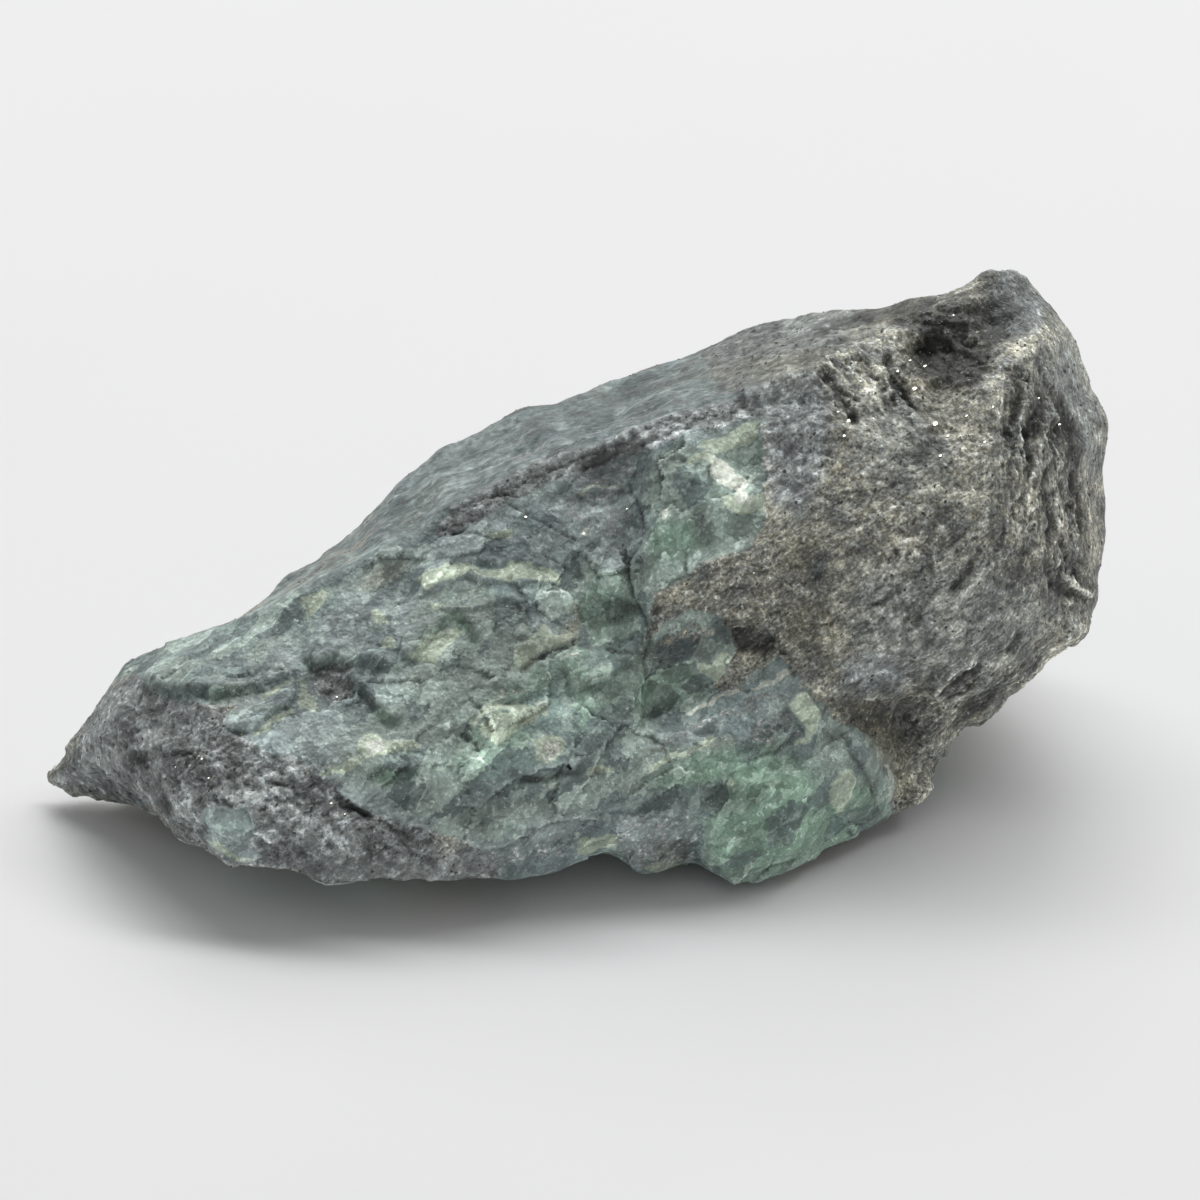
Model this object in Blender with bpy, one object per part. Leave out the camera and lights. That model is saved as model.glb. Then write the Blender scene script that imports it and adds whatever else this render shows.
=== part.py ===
"""A raw emerald: one lump of grey-green beryl grown together with its dark mica schist.

Metres, +Z up, X along the stone. The stone is a long wedge, low at its left nose and high at its
right end, and it lies on a small flat patch of its underside. Everything is one closed solid.

The broad front face leans back from the floor, so the stone is laid out on a plane that leans with
it: each point there is (along, up, out), in millimetres, where out is square to the plane and
towards the front. The outline is the rim between the front and the hidden side. Hidden points are
(x, y, z) with the floor at z = 0.
"""
import math

import bmesh
import bpy
from mathutils import Vector, noise
from mathutils.geometry import delaunay_2d_cdt

NAME = "raw_emerald"
MM = 0.001
LEAN = math.radians(30)  # how far the layout plane tips back from upright

VOXEL = 0.6 * MM  # grain of the clay-like mesh that rounds off the broken edges
ROUNDING_PASSES = 4
RELIEF_HEIGHT = 0.45 * MM
RELIEF_SPACING = 7.0 * MM
RELIEF_STRETCH = Vector((0.55, 1.0, 1.35))  # lumps run along the stone, as its layers do
SOLE_SNAP = 0.2 * MM
TRIANGLES = 7200
FOLD_ANGLE = math.radians(75)
FOLD_PASSES = 12

STONE_COLOUR = (0.115, 0.15, 0.14, 1.0)
STONE_ROUGHNESS = 0.55

# The rim, clockwise from the left nose.
NOSE = [(-46.3, 3.1, -2), (-44.4, 5.7, 0.5), (-40.9, 10.4, 2.5), (-38.4, 13.2, 3.5),
        (-36.8, 14.1, 4), (-33.8, 15.4, 4.5)]
SKYLINE = [(-31.7, 16.0, 4), (-29.6, 17.1, 3), (-27.4, 18.6, 2), (-24.9, 20.7, -2),
           (-22.7, 21.9, -5), (-19.9, 24.0, -7), (-17.8, 26.1, -7), (-15.2, 29.2, -6),
           (-11.8, 31.6, -7), (-9.3, 32.6, -8), (-5.0, 35.0, -9), (-1.5, 35.8, -10),
           (3.6, 37.7, -13), (7.0, 38.8, -13), (10.4, 40.3, -12), (14.6, 42.2, -12),
           (18.9, 43.0, -7), (21.4, 43.5, -4), (27.4, 44.1, -1), (30.8, 45.0, 1)]
PEAK = [(34.4, 46.9, 0), (36.4, 47.7, -2), (38.9, 46.1, -3), (40.8, 44.3, -3)]
RIGHT_END = [(43.2, 40.6, -4), (44.6, 35.8, -4), (45.6, 32.6, -4), (45.1, 28.7, -4),
             (44.9, 23.6, -3), (44.6, 17.7, -2), (43.9, 14.7, -2)]
UNDERCUT = [(40.4, 12.9, -1), (36.0, 9.5, -1.5), (32.6, 6.6, -1), (30.5, 3.7, 0.5), (30.3, 1.4, 2.5)]
LIP = [(26.6, -0.2, 4), (24.0, -1.7, 6.5), (20.6, -3.6, 9), (17.2, -4.7, 10.5), (13.8, -5.7, 12),
       (12.1, -5.1, 11.5), (9.7, -3.8, 11), (7.4, -5.0, 12.7), (5.5, -5.2, 13), (3.1, -3.5, 13.5),
       (1.0, -3.5, 14), (-2.8, -5.0, 16.3), (-6.6, -5.4, 17.3), (-12.6, -5.2, 18.5), (-16.8, -5.3, 18.5),
       (-21.2, -5.8, 19), (-23.6, -4.6, 19), (-27.0, -4.1, 19), (-29.2, -4.4, 18.5),
       (-30.9, -3.4, 17.5), (-33.8, -1.7, 12.5), (-36.4, 0.4, 6), (-39.8, 1.3, 1.2), (-43.6, 1.9, -1)]
RIM = NOSE + SKYLINE + PEAK + RIGHT_END + UNDERCUT + LIP

# The worn crest between the front face and the sloping top, left to right.
CREST = [(-31, 16, 9), (-27.5, 17.5, 10), (-23.5, 19.5, 11), (-19.5, 21.2, 11), (-17, 23, 11),
         (-13.5, 24, 11.5), (-11.5, 26, 11), (-8, 27.5, 11), (-5, 29.5, 10.5), (-1.5, 31, 10.5),
         (2, 32, 10.5), (5.5, 33.5, 11), (8.5, 34.7, 11), (12, 35.5, 11), (15, 36, 11),
         (17, 37.5, 10), (20, 38.5, 10), (22, 40, 8)]
# The step that splits the front face: the block right of it stands forward.
STEP_BACK = [(4, 28.5, 11), (4.5, 23.5, 12), (4.5, 18.5, 13), (5, 11.5, 14.2), (4.5, 6.5, 16)]
STEP_FRONT = [(6, 30, 12.5), (6.2, 24.5, 14), (6.2, 18.5, 14.5), (6.5, 14, 14), (6.5, 9.5, 12.5)]
# The corner where the schist turns under at the lower right.
CREASE = [(21.5, 11, 12), (25, 9.5, 9), (27.5, 8, 6), (28.5, 4.5, 4.5)]
# The edge where the nose's face turns under.
NOSE_EDGE = [(-43, 4.3, 4), (-38.5, 3.8, 10.5), (-35.3, 1.8, 15), (-33.9, -0.2, 16)]

# The top falls away behind the crest, with a low second hump along its middle.
SLOPING_TOP = [(-23.5, 20.6, 3.5), (-20.5, 22, 5.5), (-19, 23.3, -0.5), (-16.5, 24.8, 5),
               (-15.5, 27.3, -1.5), (-12.5, 26.6, 6), (-12, 29.4, 0), (-8.5, 29, 5),
               (-7.5, 31.5, -2), (-4, 31, 5), (-3.5, 33.9, -2.5), (1, 32.6, 6.5),
               (2.5, 33.4, 3), (1, 35.7, -4), (6, 34.6, 5), (7.5, 37.1, -3), (11, 36.6, 4),
               (11.5, 39, -4.5), (15, 38.2, 3.5), (15.5, 40.7, -5), (19.5, 40.6, 2)]
LEFT_FACE = [(-41, 7, 8.5), (-37, 11, 10.5), (-36.5, 6.5, 14.5), (-32, 13.5, 11.5),
             (-32, 10.5, 15), (-32, 5, 18.5), (-31, 0.5, 19.5), (-26, 14.5, 13),
             (-26, 10.5, 16), (-26, 5, 19.5), (-26, -1, 20.5)]
MIDDLE_FACE = [(-20, 17, 13), (-20, 10, 16.5), (-20, 5, 19.5), (-20, -1.5, 20.5),
               (-13.5, 18.5, 13), (-13.5, 13, 15.5), (-13.5, 6.5, 18.5), (-13.5, -0.5, 20),
               (-6.5, 22, 12.5), (-6.5, 17, 14.5), (-6.5, 11, 17), (-6.5, 5, 18.5),
               (-6.5, -1.5, 19), (0, 27, 11), (0, 22, 12), (2.5, 20, 13.7), (2, 17.5, 12),
               (0, 13.5, 15.5), (0, 6.5, 17.5), (0, 0, 17.5)]
EMERALD_BLOCK = [(9.5, 10.5, 12.6), (10.5, 32, 12.5), (13, 28.5, 14), (14, 21, 14),
                 (14, 15, 12), (14, 18, 13.7), (17.5, 16.5, 13.5), (10.5, 13, 14),
                 (15.5, 10, 14), (5.5, 4.5, 16), (12, 6.5, 15.5), (12, 1.5, 16),
                 (12, -3, 14.5), (19, 8.5, 13.5), (19, 2.5, 14.5), (18, -2.5, 13.5),
                 (24, 5, 11.5), (25, 1.5, 9), (6, -1, 16)]
SCHIST_FACE = [(18, 32, 12.5), (23, 33, 12), (23, 25.5, 13.5), (23, 18.5, 14), (23, 13.5, 13),
               (29, 28.5, 13), (29, 22, 14), (29, 15, 12.5), (34, 34, 11), (34, 27, 12.5),
               (34, 20, 12.5), (34.5, 14.5, 9.5), (39.5, 34, 8.5), (39.5, 25.5, 9),
               (39.5, 18.5, 7.5), (42.5, 31.5, 3), (42.5, 22, 3.5), (42, 16, 2.5), (36, 12.5, 6),
               (32, 9, 6), (30.5, 6, 5.5)]
TOP_POCKET = [(23.5, 39.5, 8), (26.5, 38, 8.5), (30, 39.5, 4), (34, 42, 3.5), (32.5, 37, 8.5),
              (37.5, 38, 8), (39.5, 41.5, 3.5), (36.5, 45, 1), (27.5, 42.5, 3), (32, 44, 3.5)]

# The hidden side. The belly's middle dips below the floor and is cut off flat there.
NOSE_UNDERSIDE = [(-42.5, 3.8, 1.9), (-40, 2, 1), (-40, 5.5, 5), (-36, -1, 1), (-36, 5, 0.8),
                  (-36.5, 8, 9), (-31, -8, 3.5), (-31, 1, 0.9), (-31, 8.5, 3), (-30.5, 9, 11),
                  (-24, 8, 2.5), (-23, -7, 1.5)]
BELLY_EDGE = [(-15, -8.3, 1.2), (-3, -8, 1.2), (2, -5.5, 1), (10, -6, 1), (19, -4, 1),
              (24.5, 1, 1.5), (27.5, 6, 3), (28, 14, 2.5), (26, 23, 2), (10, 24, 1.5),
              (-3, 19, 1.2), (-14, 13, 1.2)]
BELLY_MIDDLE = [(-12, 0, -0.6), (-9, 7, -1), (5, -1, -1), (5, 13, -1), (18, 2, -1), (20, 15, -1)]
BACK_SIDE = [(-24, 13, 10), (-15, 21, 15), (-15, 18, 5), (-3, 27, 19), (-4, 26, 8), (10, 32, 20),
             (11, 31, 9), (20, 34, 27), (21, 35, 14), (30, 32, 30), (31, 36, 20), (32, 33, 8),
             (38, 31, 29), (39, 32, 18), (38, 24, 9), (36, 13, 6.5), (43, 25, 24), (43, 20, 15),
             (41.5, 11, 12)]

FRONT_LINES = [CREST, STEP_BACK, STEP_FRONT, CREASE, NOSE_EDGE]
FRONT_SPOTS = SLOPING_TOP + LEFT_FACE + MIDDLE_FACE + EMERALD_BLOCK + SCHIST_FACE + TOP_POCKET
HIDDEN_SPOTS = NOSE_UNDERSIDE + BELLY_EDGE + BELLY_MIDDLE + BACK_SIDE


def clear_scene():
    for thing in list(bpy.data.objects):
        bpy.data.objects.remove(thing, do_unlink=True)


def to_world(along, up, out):
    """A point of the leaning layout plane, in world metres."""
    y = up * math.sin(LEAN) - out * math.cos(LEAN)
    z = up * math.cos(LEAN) + out * math.sin(LEAN)
    return Vector((along, y, z)) * MM


def to_layout(x, y, z):
    """A hidden point's place on the leaning layout plane, in millimetres."""
    up = y * math.sin(LEAN) + z * math.cos(LEAN)
    out = z * math.sin(LEAN) - y * math.cos(LEAN)
    return (x, up, out)


def chain(first, count):
    return [(first + i, first + i + 1) for i in range(count - 1)]


def skin(bm, rim_verts, lines, spots, outward):
    """Cover the rim with triangles through the lines' and spots' points."""
    points = list(RIM)
    edges = chain(0, len(RIM)) + [(len(RIM) - 1, 0)]
    for line in lines:
        edges += chain(len(points), len(line))
        points += line
    points += spots
    flat = [Vector(point[:2]) for point in points]
    _, _, faces, origins, _, _ = delaunay_2d_cdt(flat, edges, [], 1, 1e-4)
    verts = rim_verts + [bm.verts.new(to_world(*point)) for point in points[len(RIM):]]
    for face in faces:
        corners = [verts[origins[index][0]] for index in face]
        bm.faces.new(corners if outward else reversed(corners))


def rough_stone():
    """The broken stone as flat facets between its chosen corners."""
    bm = bmesh.new()
    rim_verts = [bm.verts.new(to_world(*point)) for point in RIM]
    skin(bm, rim_verts, FRONT_LINES, FRONT_SPOTS, outward=True)
    skin(bm, rim_verts, [], [to_layout(*point) for point in HIDDEN_SPOTS], outward=False)
    bm.normal_update()
    mesh = bpy.data.meshes.new(NAME)
    bm.to_mesh(mesh)
    bm.free()
    stone = bpy.data.objects.new(NAME, mesh)
    bpy.context.scene.collection.objects.link(stone)
    return stone


def apply_modifiers(stone):
    depsgraph = bpy.context.evaluated_depsgraph_get()
    mesh = bpy.data.meshes.new_from_object(stone.evaluated_get(depsgraph))
    stone.modifiers.clear()
    old = stone.data
    stone.data = mesh
    bpy.data.meshes.remove(old)
    mesh.name = NAME


def wear_edges(stone):
    """Round the facets' edges a little, as knocks do."""
    remesh = stone.modifiers.new("clay", "REMESH")
    remesh.mode = "VOXEL"
    remesh.voxel_size = VOXEL
    smooth = stone.modifiers.new("wear", "SMOOTH")
    smooth.factor = 0.5
    smooth.iterations = ROUNDING_PASSES
    apply_modifiers(stone)


def roughen(stone):
    """Push the surface in and out in low lumps that run along the stone's layers."""
    mesh = stone.data
    pushes = []
    for vert in mesh.vertices:
        spot = vert.co * RELIEF_STRETCH / RELIEF_SPACING
        height = noise.fractal(spot, 1.0, 2.0, 3, noise_basis="PERLIN_ORIGINAL")
        pushes.append(vert.co + vert.normal * height * RELIEF_HEIGHT)
    for vert, place in zip(mesh.vertices, pushes):
        vert.co = place


def thin_out(stone):
    faces = sum(len(polygon.vertices) - 2 for polygon in stone.data.polygons)
    decimate = stone.modifiers.new("thin", "DECIMATE")
    decimate.ratio = TRIANGLES / faces
    decimate.use_collapse_triangulate = True
    apply_modifiers(stone)


def flatten_folds(stone):
    """Relax the few corners where the thinned skin doubles back on itself."""
    bm = bmesh.new()
    bm.from_mesh(stone.data)
    for _ in range(FOLD_PASSES):
        bm.normal_update()
        folds = [edge for edge in bm.edges if edge.calc_face_angle(0) > FOLD_ANGLE]
        corners = {vert for edge in folds for vert in edge.verts}
        bmesh.ops.smooth_vert(bm, verts=list(corners), factor=0.5,
                              use_axis_x=True, use_axis_y=True, use_axis_z=True)
    bm.to_mesh(stone.data)
    bm.free()


def cut_sole(stone):
    """Cut the belly off flat at the floor, which leaves the patch that the stone rests on."""
    bm = bmesh.new()
    bm.from_mesh(stone.data)
    everything = bm.verts[:] + bm.edges[:] + bm.faces[:]
    bmesh.ops.bisect_plane(bm, geom=everything, dist=SOLE_SNAP, use_snap_center=True,
                           plane_co=(0, 0, 0), plane_no=(0, 0, -1), clear_outer=True)
    cut_verts = {vert for edge in bm.edges if edge.is_boundary for vert in edge.verts}
    bmesh.ops.remove_doubles(bm, verts=list(cut_verts), dist=SOLE_SNAP)
    cut_edges = [edge for edge in bm.edges if edge.is_boundary]
    sole = bmesh.ops.holes_fill(bm, edges=cut_edges, sides=0)["faces"]
    bmesh.ops.triangulate(bm, faces=sole)
    bm.to_mesh(stone.data)
    bm.free()


def centre_on_origin(stone):
    """Bring the middle of the stone's box over the origin, with the sole at z = 0."""
    corners = [vert.co for vert in stone.data.vertices]
    low = Vector(min(corner[axis] for corner in corners) for axis in range(3))
    high = Vector(max(corner[axis] for corner in corners) for axis in range(3))
    shift = Vector(((low.x + high.x) / 2, (low.y + high.y) / 2, low.z))
    for vert in stone.data.vertices:
        vert.co -= shift


def stone_material():
    material = bpy.data.materials.new("emerald_schist")
    material.use_nodes = True
    shader = material.node_tree.nodes["Principled BSDF"]
    shader.inputs["Base Color"].default_value = STONE_COLOUR
    shader.inputs["Roughness"].default_value = STONE_ROUGHNESS
    shader.inputs["Metallic"].default_value = 0.0
    return material


def build():
    clear_scene()
    stone = rough_stone()
    wear_edges(stone)
    roughen(stone)
    thin_out(stone)
    flatten_folds(stone)
    cut_sole(stone)
    centre_on_origin(stone)
    stone.data.shade_smooth()
    stone.data.set_sharp_from_angle(angle=math.radians(40))
    stone.data.materials.append(stone_material())


build()
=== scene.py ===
"""The looks of the raw emerald: grey-green beryl grown together with its dark mica schist.

The stone's surface is the CAD solid's, made finer. It is carved in code: broken ledges, cracks,
pits and plates at chosen places on the side that the camera sees, and layers and grain all round.
The same places steer the colours, through values kept on the mesh that the material reads.

Places on the seen side are (x, y) pixels of the 1200-pixel picture that the camera takes.
Heights are millimetres out from the stone.
"""
import math

import bmesh
import bpy
import numpy as np
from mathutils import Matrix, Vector, noise


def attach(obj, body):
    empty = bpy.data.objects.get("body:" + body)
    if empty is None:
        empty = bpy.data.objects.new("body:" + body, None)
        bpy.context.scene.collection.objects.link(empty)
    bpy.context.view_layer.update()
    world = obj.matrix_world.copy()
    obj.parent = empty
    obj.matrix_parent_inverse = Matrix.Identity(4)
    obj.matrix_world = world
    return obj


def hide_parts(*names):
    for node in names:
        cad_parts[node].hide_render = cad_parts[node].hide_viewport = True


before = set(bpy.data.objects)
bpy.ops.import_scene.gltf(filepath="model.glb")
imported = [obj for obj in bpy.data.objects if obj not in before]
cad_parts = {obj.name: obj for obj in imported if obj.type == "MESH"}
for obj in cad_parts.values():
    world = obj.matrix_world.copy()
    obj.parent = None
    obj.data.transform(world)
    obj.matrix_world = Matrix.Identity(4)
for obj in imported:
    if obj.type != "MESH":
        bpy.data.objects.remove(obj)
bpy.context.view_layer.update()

MM = 0.001

# ---------------------------------------------------------------- camera
PICTURE_PX = 1200
PICTURE_MM = 102.0  # how wide a strip the picture takes in at the stone
CAMERA_FAR_MM = 1500.0
CAMERA_RISE = math.radians(30)
LOOK_AT_MM = np.array((2.071, -7.742, 21.047))
RIGHT = np.array((1.0, 0.0, 0.0))
UP = np.array((0.0, math.sin(CAMERA_RISE), math.cos(CAMERA_RISE)))
OUT = np.array((0.0, -math.cos(CAMERA_RISE), math.sin(CAMERA_RISE)))
SENSOR_MM = 36.0


def add_camera():
    camera = bpy.data.objects.new("camera", bpy.data.cameras.new("camera"))
    bpy.context.scene.collection.objects.link(camera)
    camera.location = Vector(LOOK_AT_MM + OUT * CAMERA_FAR_MM) * MM
    camera.rotation_euler = (math.pi / 2 - CAMERA_RISE, 0, 0)
    camera.data.sensor_width = SENSOR_MM
    camera.data.lens = SENSOR_MM * CAMERA_FAR_MM / PICTURE_MM
    camera.data.clip_end = 10
    bpy.context.scene.camera = camera


def picture_place(spots):
    """Where the camera sees each spot, in picture pixels."""
    offset = spots - LOOK_AT_MM
    pixels = PICTURE_PX / PICTURE_MM * CAMERA_FAR_MM / (CAMERA_FAR_MM - offset @ OUT)
    return PICTURE_PX / 2 + offset @ RIGHT * pixels, PICTURE_PX / 2 - offset @ UP * pixels


# ---------------------------------------------------------------- shapes drawn in the picture
def ramp(low, high, value):
    """0 below low, 1 above high, and a smooth rise between."""
    part = np.clip((value - low) / (high - low), 0, 1)
    return part * part * (3 - 2 * part)


def along_path(x, y, path):
    """Distance to the path, positive on its left hand, and how far along it is, from 0 to 1."""
    points = np.array(path, float)
    steps = np.hypot(*np.diff(points, axis=0).T)
    starts = np.concatenate(([0], np.cumsum(steps)))
    best = np.full(x.shape, 1e9)
    side = np.ones(x.shape)
    travel = np.zeros(x.shape)
    for (ax, ay), (bx, by), step, start in zip(points[:-1], points[1:], steps, starts):
        part = np.clip(((x - ax) * (bx - ax) + (y - ay) * (by - ay)) / step**2, 0, 1)
        gap = np.hypot(x - ax - part * (bx - ax), y - ay - part * (by - ay))
        nearer = gap < best
        left = (bx - ax) * (y - ay) - (by - ay) * (x - ax) < 0
        best = np.where(nearer, gap, best)
        side = np.where(nearer, np.where(left, 1, -1), side)
        travel = np.where(nearer, (start + part * step) / starts[-1], travel)
    return best * side, travel


class Shape:
    """An area or a band in the picture. depth() is how far inside it a place is, in pixels."""

    def __init__(self, points, half_width=None):
        self.points = np.array(points, float)
        self.half_width = half_width

    def depth(self, x, y):
        if self.half_width is not None:
            return self.half_width - np.abs(along_path(x, y, self.points)[0])
        loop = np.vstack((self.points, self.points[:1]))
        gap = np.abs(along_path(x, y, loop)[0])
        inside = np.zeros(x.shape, bool)
        for (ax, ay), (bx, by) in zip(loop[:-1], loop[1:]):
            crosses = (ay > y) != (by > y)
            rise = by - ay if by != ay else 1.0
            inside ^= crosses & (x < (bx - ax) * (y - ay) / rise + ax)
        return np.where(inside, gap, -gap)

    def near(self, x, y, margin):
        low = self.points.min(axis=0) - margin
        high = self.points.max(axis=0) + margin
        return (x > low[0]) & (x < high[0]) & (y > low[1]) & (y < high[1])


def area(*points):
    return Shape(points)


def band(width, *points):
    return Shape(points, width / 2)


def oval(x, y, half_long, half_short, lean=0):
    """An ellipse whose long axis leans up to the right by lean degrees."""
    turn = math.radians(lean)
    points = []
    for step in range(14):
        angle = math.tau * step / 14
        across = half_long * math.cos(angle)
        down = half_short * math.sin(angle)
        points.append((x + across * math.cos(turn) + down * math.sin(turn),
                       y - across * math.sin(turn) + down * math.cos(turn)))
    return Shape(points)


# outlines that more than one of the lists below use
CREAM_PLATE = area((357, 740), (366, 735), (378, 732), (384, 744), (396, 741), (414, 740), (424, 747),
    (405, 751), (392, 753), (384, 758), (366, 755), (355, 751))
CREAM_KNOB = area((513, 650), (527, 640), (543, 625), (555, 638), (572, 632), (573, 641), (551, 650),
    (538, 656), (524, 671), (514, 669))
CREST_RECESS = area((566, 478), (592, 452), (628, 440), (655, 437), (651, 450), (624, 470), (590, 483))
LOW_PLATE = area((570, 846), (584, 837), (602, 832), (616, 840), (618, 851), (594, 857), (572, 858))
CREAM_STEP = area((408, 660), (428, 639), (442, 630), (456, 628), (462, 634), (446, 648), (434, 665))


# ---------------------------------------------------------------- relief on the seen side
# (rise in mm, width of the broken face in px, reach of the raised side in px, path).
# The stone stands proud on the path's left hand.
LEDGES = [
    (0.75, 11, 60, [(136, 671), (150, 681), (172, 688), (190, 685), (204, 686), (212, 691), (240, 686),
        (262, 684), (272, 679), (286, 671), (297, 661), (303, 656)]),
    (0.45, 6, 18, [(222, 728), (240, 727), (258, 720), (274, 711), (288, 703), (297, 690)]),
    (0.7, 12, 40, [(302, 655), (320, 657), (336, 655), (352, 657), (372, 659), (392, 664), (404, 664)]),
    (0.6, 9, 34, [(345, 672), (352, 678), (365, 694), (379, 707), (395, 719), (400, 728)]),
    (0.6, 8, 30, [(400, 665), (410, 653), (422, 641), (438, 627), (447, 617), (458, 613), (467, 618),
        (474, 628), (480, 640)]),
    (0.35, 5, 14, [(417, 590), (432, 588), (448, 581), (466, 574), (480, 579), (500, 581), (530, 582),
        (560, 586)]),
    (0.4, 6, 25, [(430, 606), (451, 611), (470, 609), (488, 601), (505, 597), (522, 602), (531, 612),
        (533, 628), (528, 640)]),
    (0.45, 8, 30, [(512, 766), (525, 772), (545, 772), (560, 768), (578, 762)]),
    (0.5, 7, 26, [(566, 690), (575, 688), (592, 682), (606, 680), (618, 668), (632, 660), (644, 656)]),
    (0.4, 6, 22, [(588, 690), (590, 704), (597, 716), (612, 721), (636, 722)]),
    (0.35, 5, 20, [(440, 735), (452, 728), (466, 722), (482, 706), (500, 700), (522, 698), (540, 688)]),
    (0.4, 7, 30, [(326, 776), (345, 770), (362, 762)]),
    (0.3, 5, 18, [(366, 792), (392, 797), (414, 790), (428, 780)]),
    (0.35, 6, 20, [(470, 836), (488, 824), (506, 819), (524, 822)]),
    (0.3, 5, 18, [(560, 822), (580, 814), (604, 812), (630, 806), (650, 795)]),
    (0.45, 7, 26, [(700, 800), (712, 780), (730, 768), (756, 762), (775, 748), (802, 730)]),
    (0.3, 5, 22, [(706, 846), (740, 838), (770, 826), (800, 812), (826, 800)]),
    (0.2, 6, 20, [(840, 722), (850, 742), (856, 758), (868, 772), (878, 790), (880, 808)]),
    (0.5, 8, 30, [(740, 402), (762, 396), (775, 386), (800, 376)]),
    (0.35, 6, 20, [(452, 566), (474, 560), (500, 567), (516, 559), (545, 566), (570, 574)]),
    (0.4, 6, 20, [(560, 497), (575, 492), (592, 486), (625, 486)]),
    (0.4, 5, 24, [(648, 476), (670, 473), (692, 476), (708, 482)]),
    (0.5, 8, 26, [(652, 588), (664, 578), (688, 572), (704, 566), (728, 556), (750, 545)]),
    (0.5, 7, 22, [(895, 586), (880, 596), (858, 606)]),
    (0.45, 7, 30, [(1000, 690), (975, 722), (955, 745)]),
]
# (depth in mm, half width in px, path)
GROOVES = [
    # the emerald and the pointed end
    (0.35, 2.5, [(626, 452), (628, 474), (630, 492), (636, 504), (643, 518), (645, 532), (638, 548),
        (629, 562), (629, 580), (633, 598), (641, 608), (645, 622), (650, 638), (646, 662), (643, 690),
        (640, 718), (638, 738)]),
    (0.3, 2.5, [(498, 499), (511, 505), (524, 512), (536, 520), (547, 525), (560, 531), (570, 538),
        (580, 545)]),
    (0.35, 3, [(436, 528), (455, 532), (470, 535), (486, 538), (500, 539), (516, 534)]),
    (0.35, 3, [(518, 676), (527, 668), (534, 660), (542, 657), (546, 652), (556, 650), (568, 648),
        (584, 642)]),
    (0.6, 3.5, [(269, 781), (280, 784), (298, 788)]),
    (0.35, 3, [(216, 727), (226, 730), (238, 734), (250, 731)]),
    (0.45, 4, [(163, 757), (178, 751), (196, 750), (214, 744)]),
    (0.35, 3, [(600, 650), (618, 656), (640, 654)]),
    (0.35, 3, [(405, 663), (422, 663), (440, 666)]),
    (0.5, 4, [(335, 800), (352, 806), (372, 820), (396, 832), (420, 850)]),
    # the schist
    (0.9, 7, [(815, 362), (824, 374), (834, 387), (844, 401), (854, 418), (860, 428)]),
    (0.9, 6, [(883, 352), (888, 366), (894, 380), (902, 394), (910, 404)]),
    (0.4, 3.5, [(905, 398), (914, 410), (924, 420), (932, 430)]),
    (0.7, 8, [(1010, 360), (1017, 378), (1019, 396), (1015, 412), (1010, 428), (1008, 444)]),
    (0.7, 9, [(1040, 382), (1041, 398), (1038, 414), (1035, 430), (1036, 444)]),
    (0.9, 7, [(1053, 392), (1062, 408), (1069, 424), (1074, 440), (1076, 456), (1076, 472)]),
    (0.5, 3.5, [(1074, 468), (1073, 482), (1077, 498), (1080, 516), (1079, 534)]),
    (0.5, 4, [(1033, 446), (1029, 462), (1025, 478), (1021, 496), (1018, 512)]),
    (0.6, 5, [(1048, 462), (1045, 482), (1046, 502), (1050, 522), (1051, 548)]),
    (0.3, 3, [(1060, 470), (1062, 490), (1066, 512), (1070, 530)]),
    (0.6, 5, [(1060, 534), (1066, 550), (1075, 564), (1083, 578), (1086, 592)]),
    (0.5, 6, [(1038, 556), (1048, 570), (1056, 584), (1066, 594), (1080, 599)]),
    (0.4, 3, [(1004, 516), (1002, 532), (996, 548)]),
    (0.5, 4.5, [(984, 540), (976, 556), (968, 570), (958, 584), (951, 600)]),
    (0.4, 3, [(858, 609), (870, 606), (884, 599), (894, 592), (906, 594)]),
    (0.5, 4.5, [(1020, 630), (1014, 642), (1007, 654)]),
    (0.5, 3.5, [(938, 692), (950, 682), (960, 672), (968, 664)]),
    (0.5, 3.5, [(934, 706), (948, 694), (962, 681), (976, 672), (990, 663)]),
    (0.4, 3.5, [(914, 722), (926, 712), (940, 702)]),
    (0.4, 4, [(950, 735), (972, 714), (994, 694), (1016, 680)]),
    (0.4, 4, [(775, 640), (783, 652), (791, 666), (796, 680)]),
    (0.4, 3.5, [(816, 336), (828, 330), (842, 324), (862, 319), (880, 316)]),
    (0.3, 3, [(832, 344), (844, 338), (858, 336), (872, 326)]),
    (0.4, 4, [(960, 340), (972, 338), (990, 340)]),
    # the lower emerald
    (0.2, 2, [(845, 742), (852, 758), (862, 770), (872, 786), (874, 804)]),
    (0.35, 3, [(752, 760), (770, 752), (786, 744), (800, 729)]),
    (0.35, 3.5, [(512, 778), (530, 780), (552, 779), (578, 773)]),
]
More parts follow.
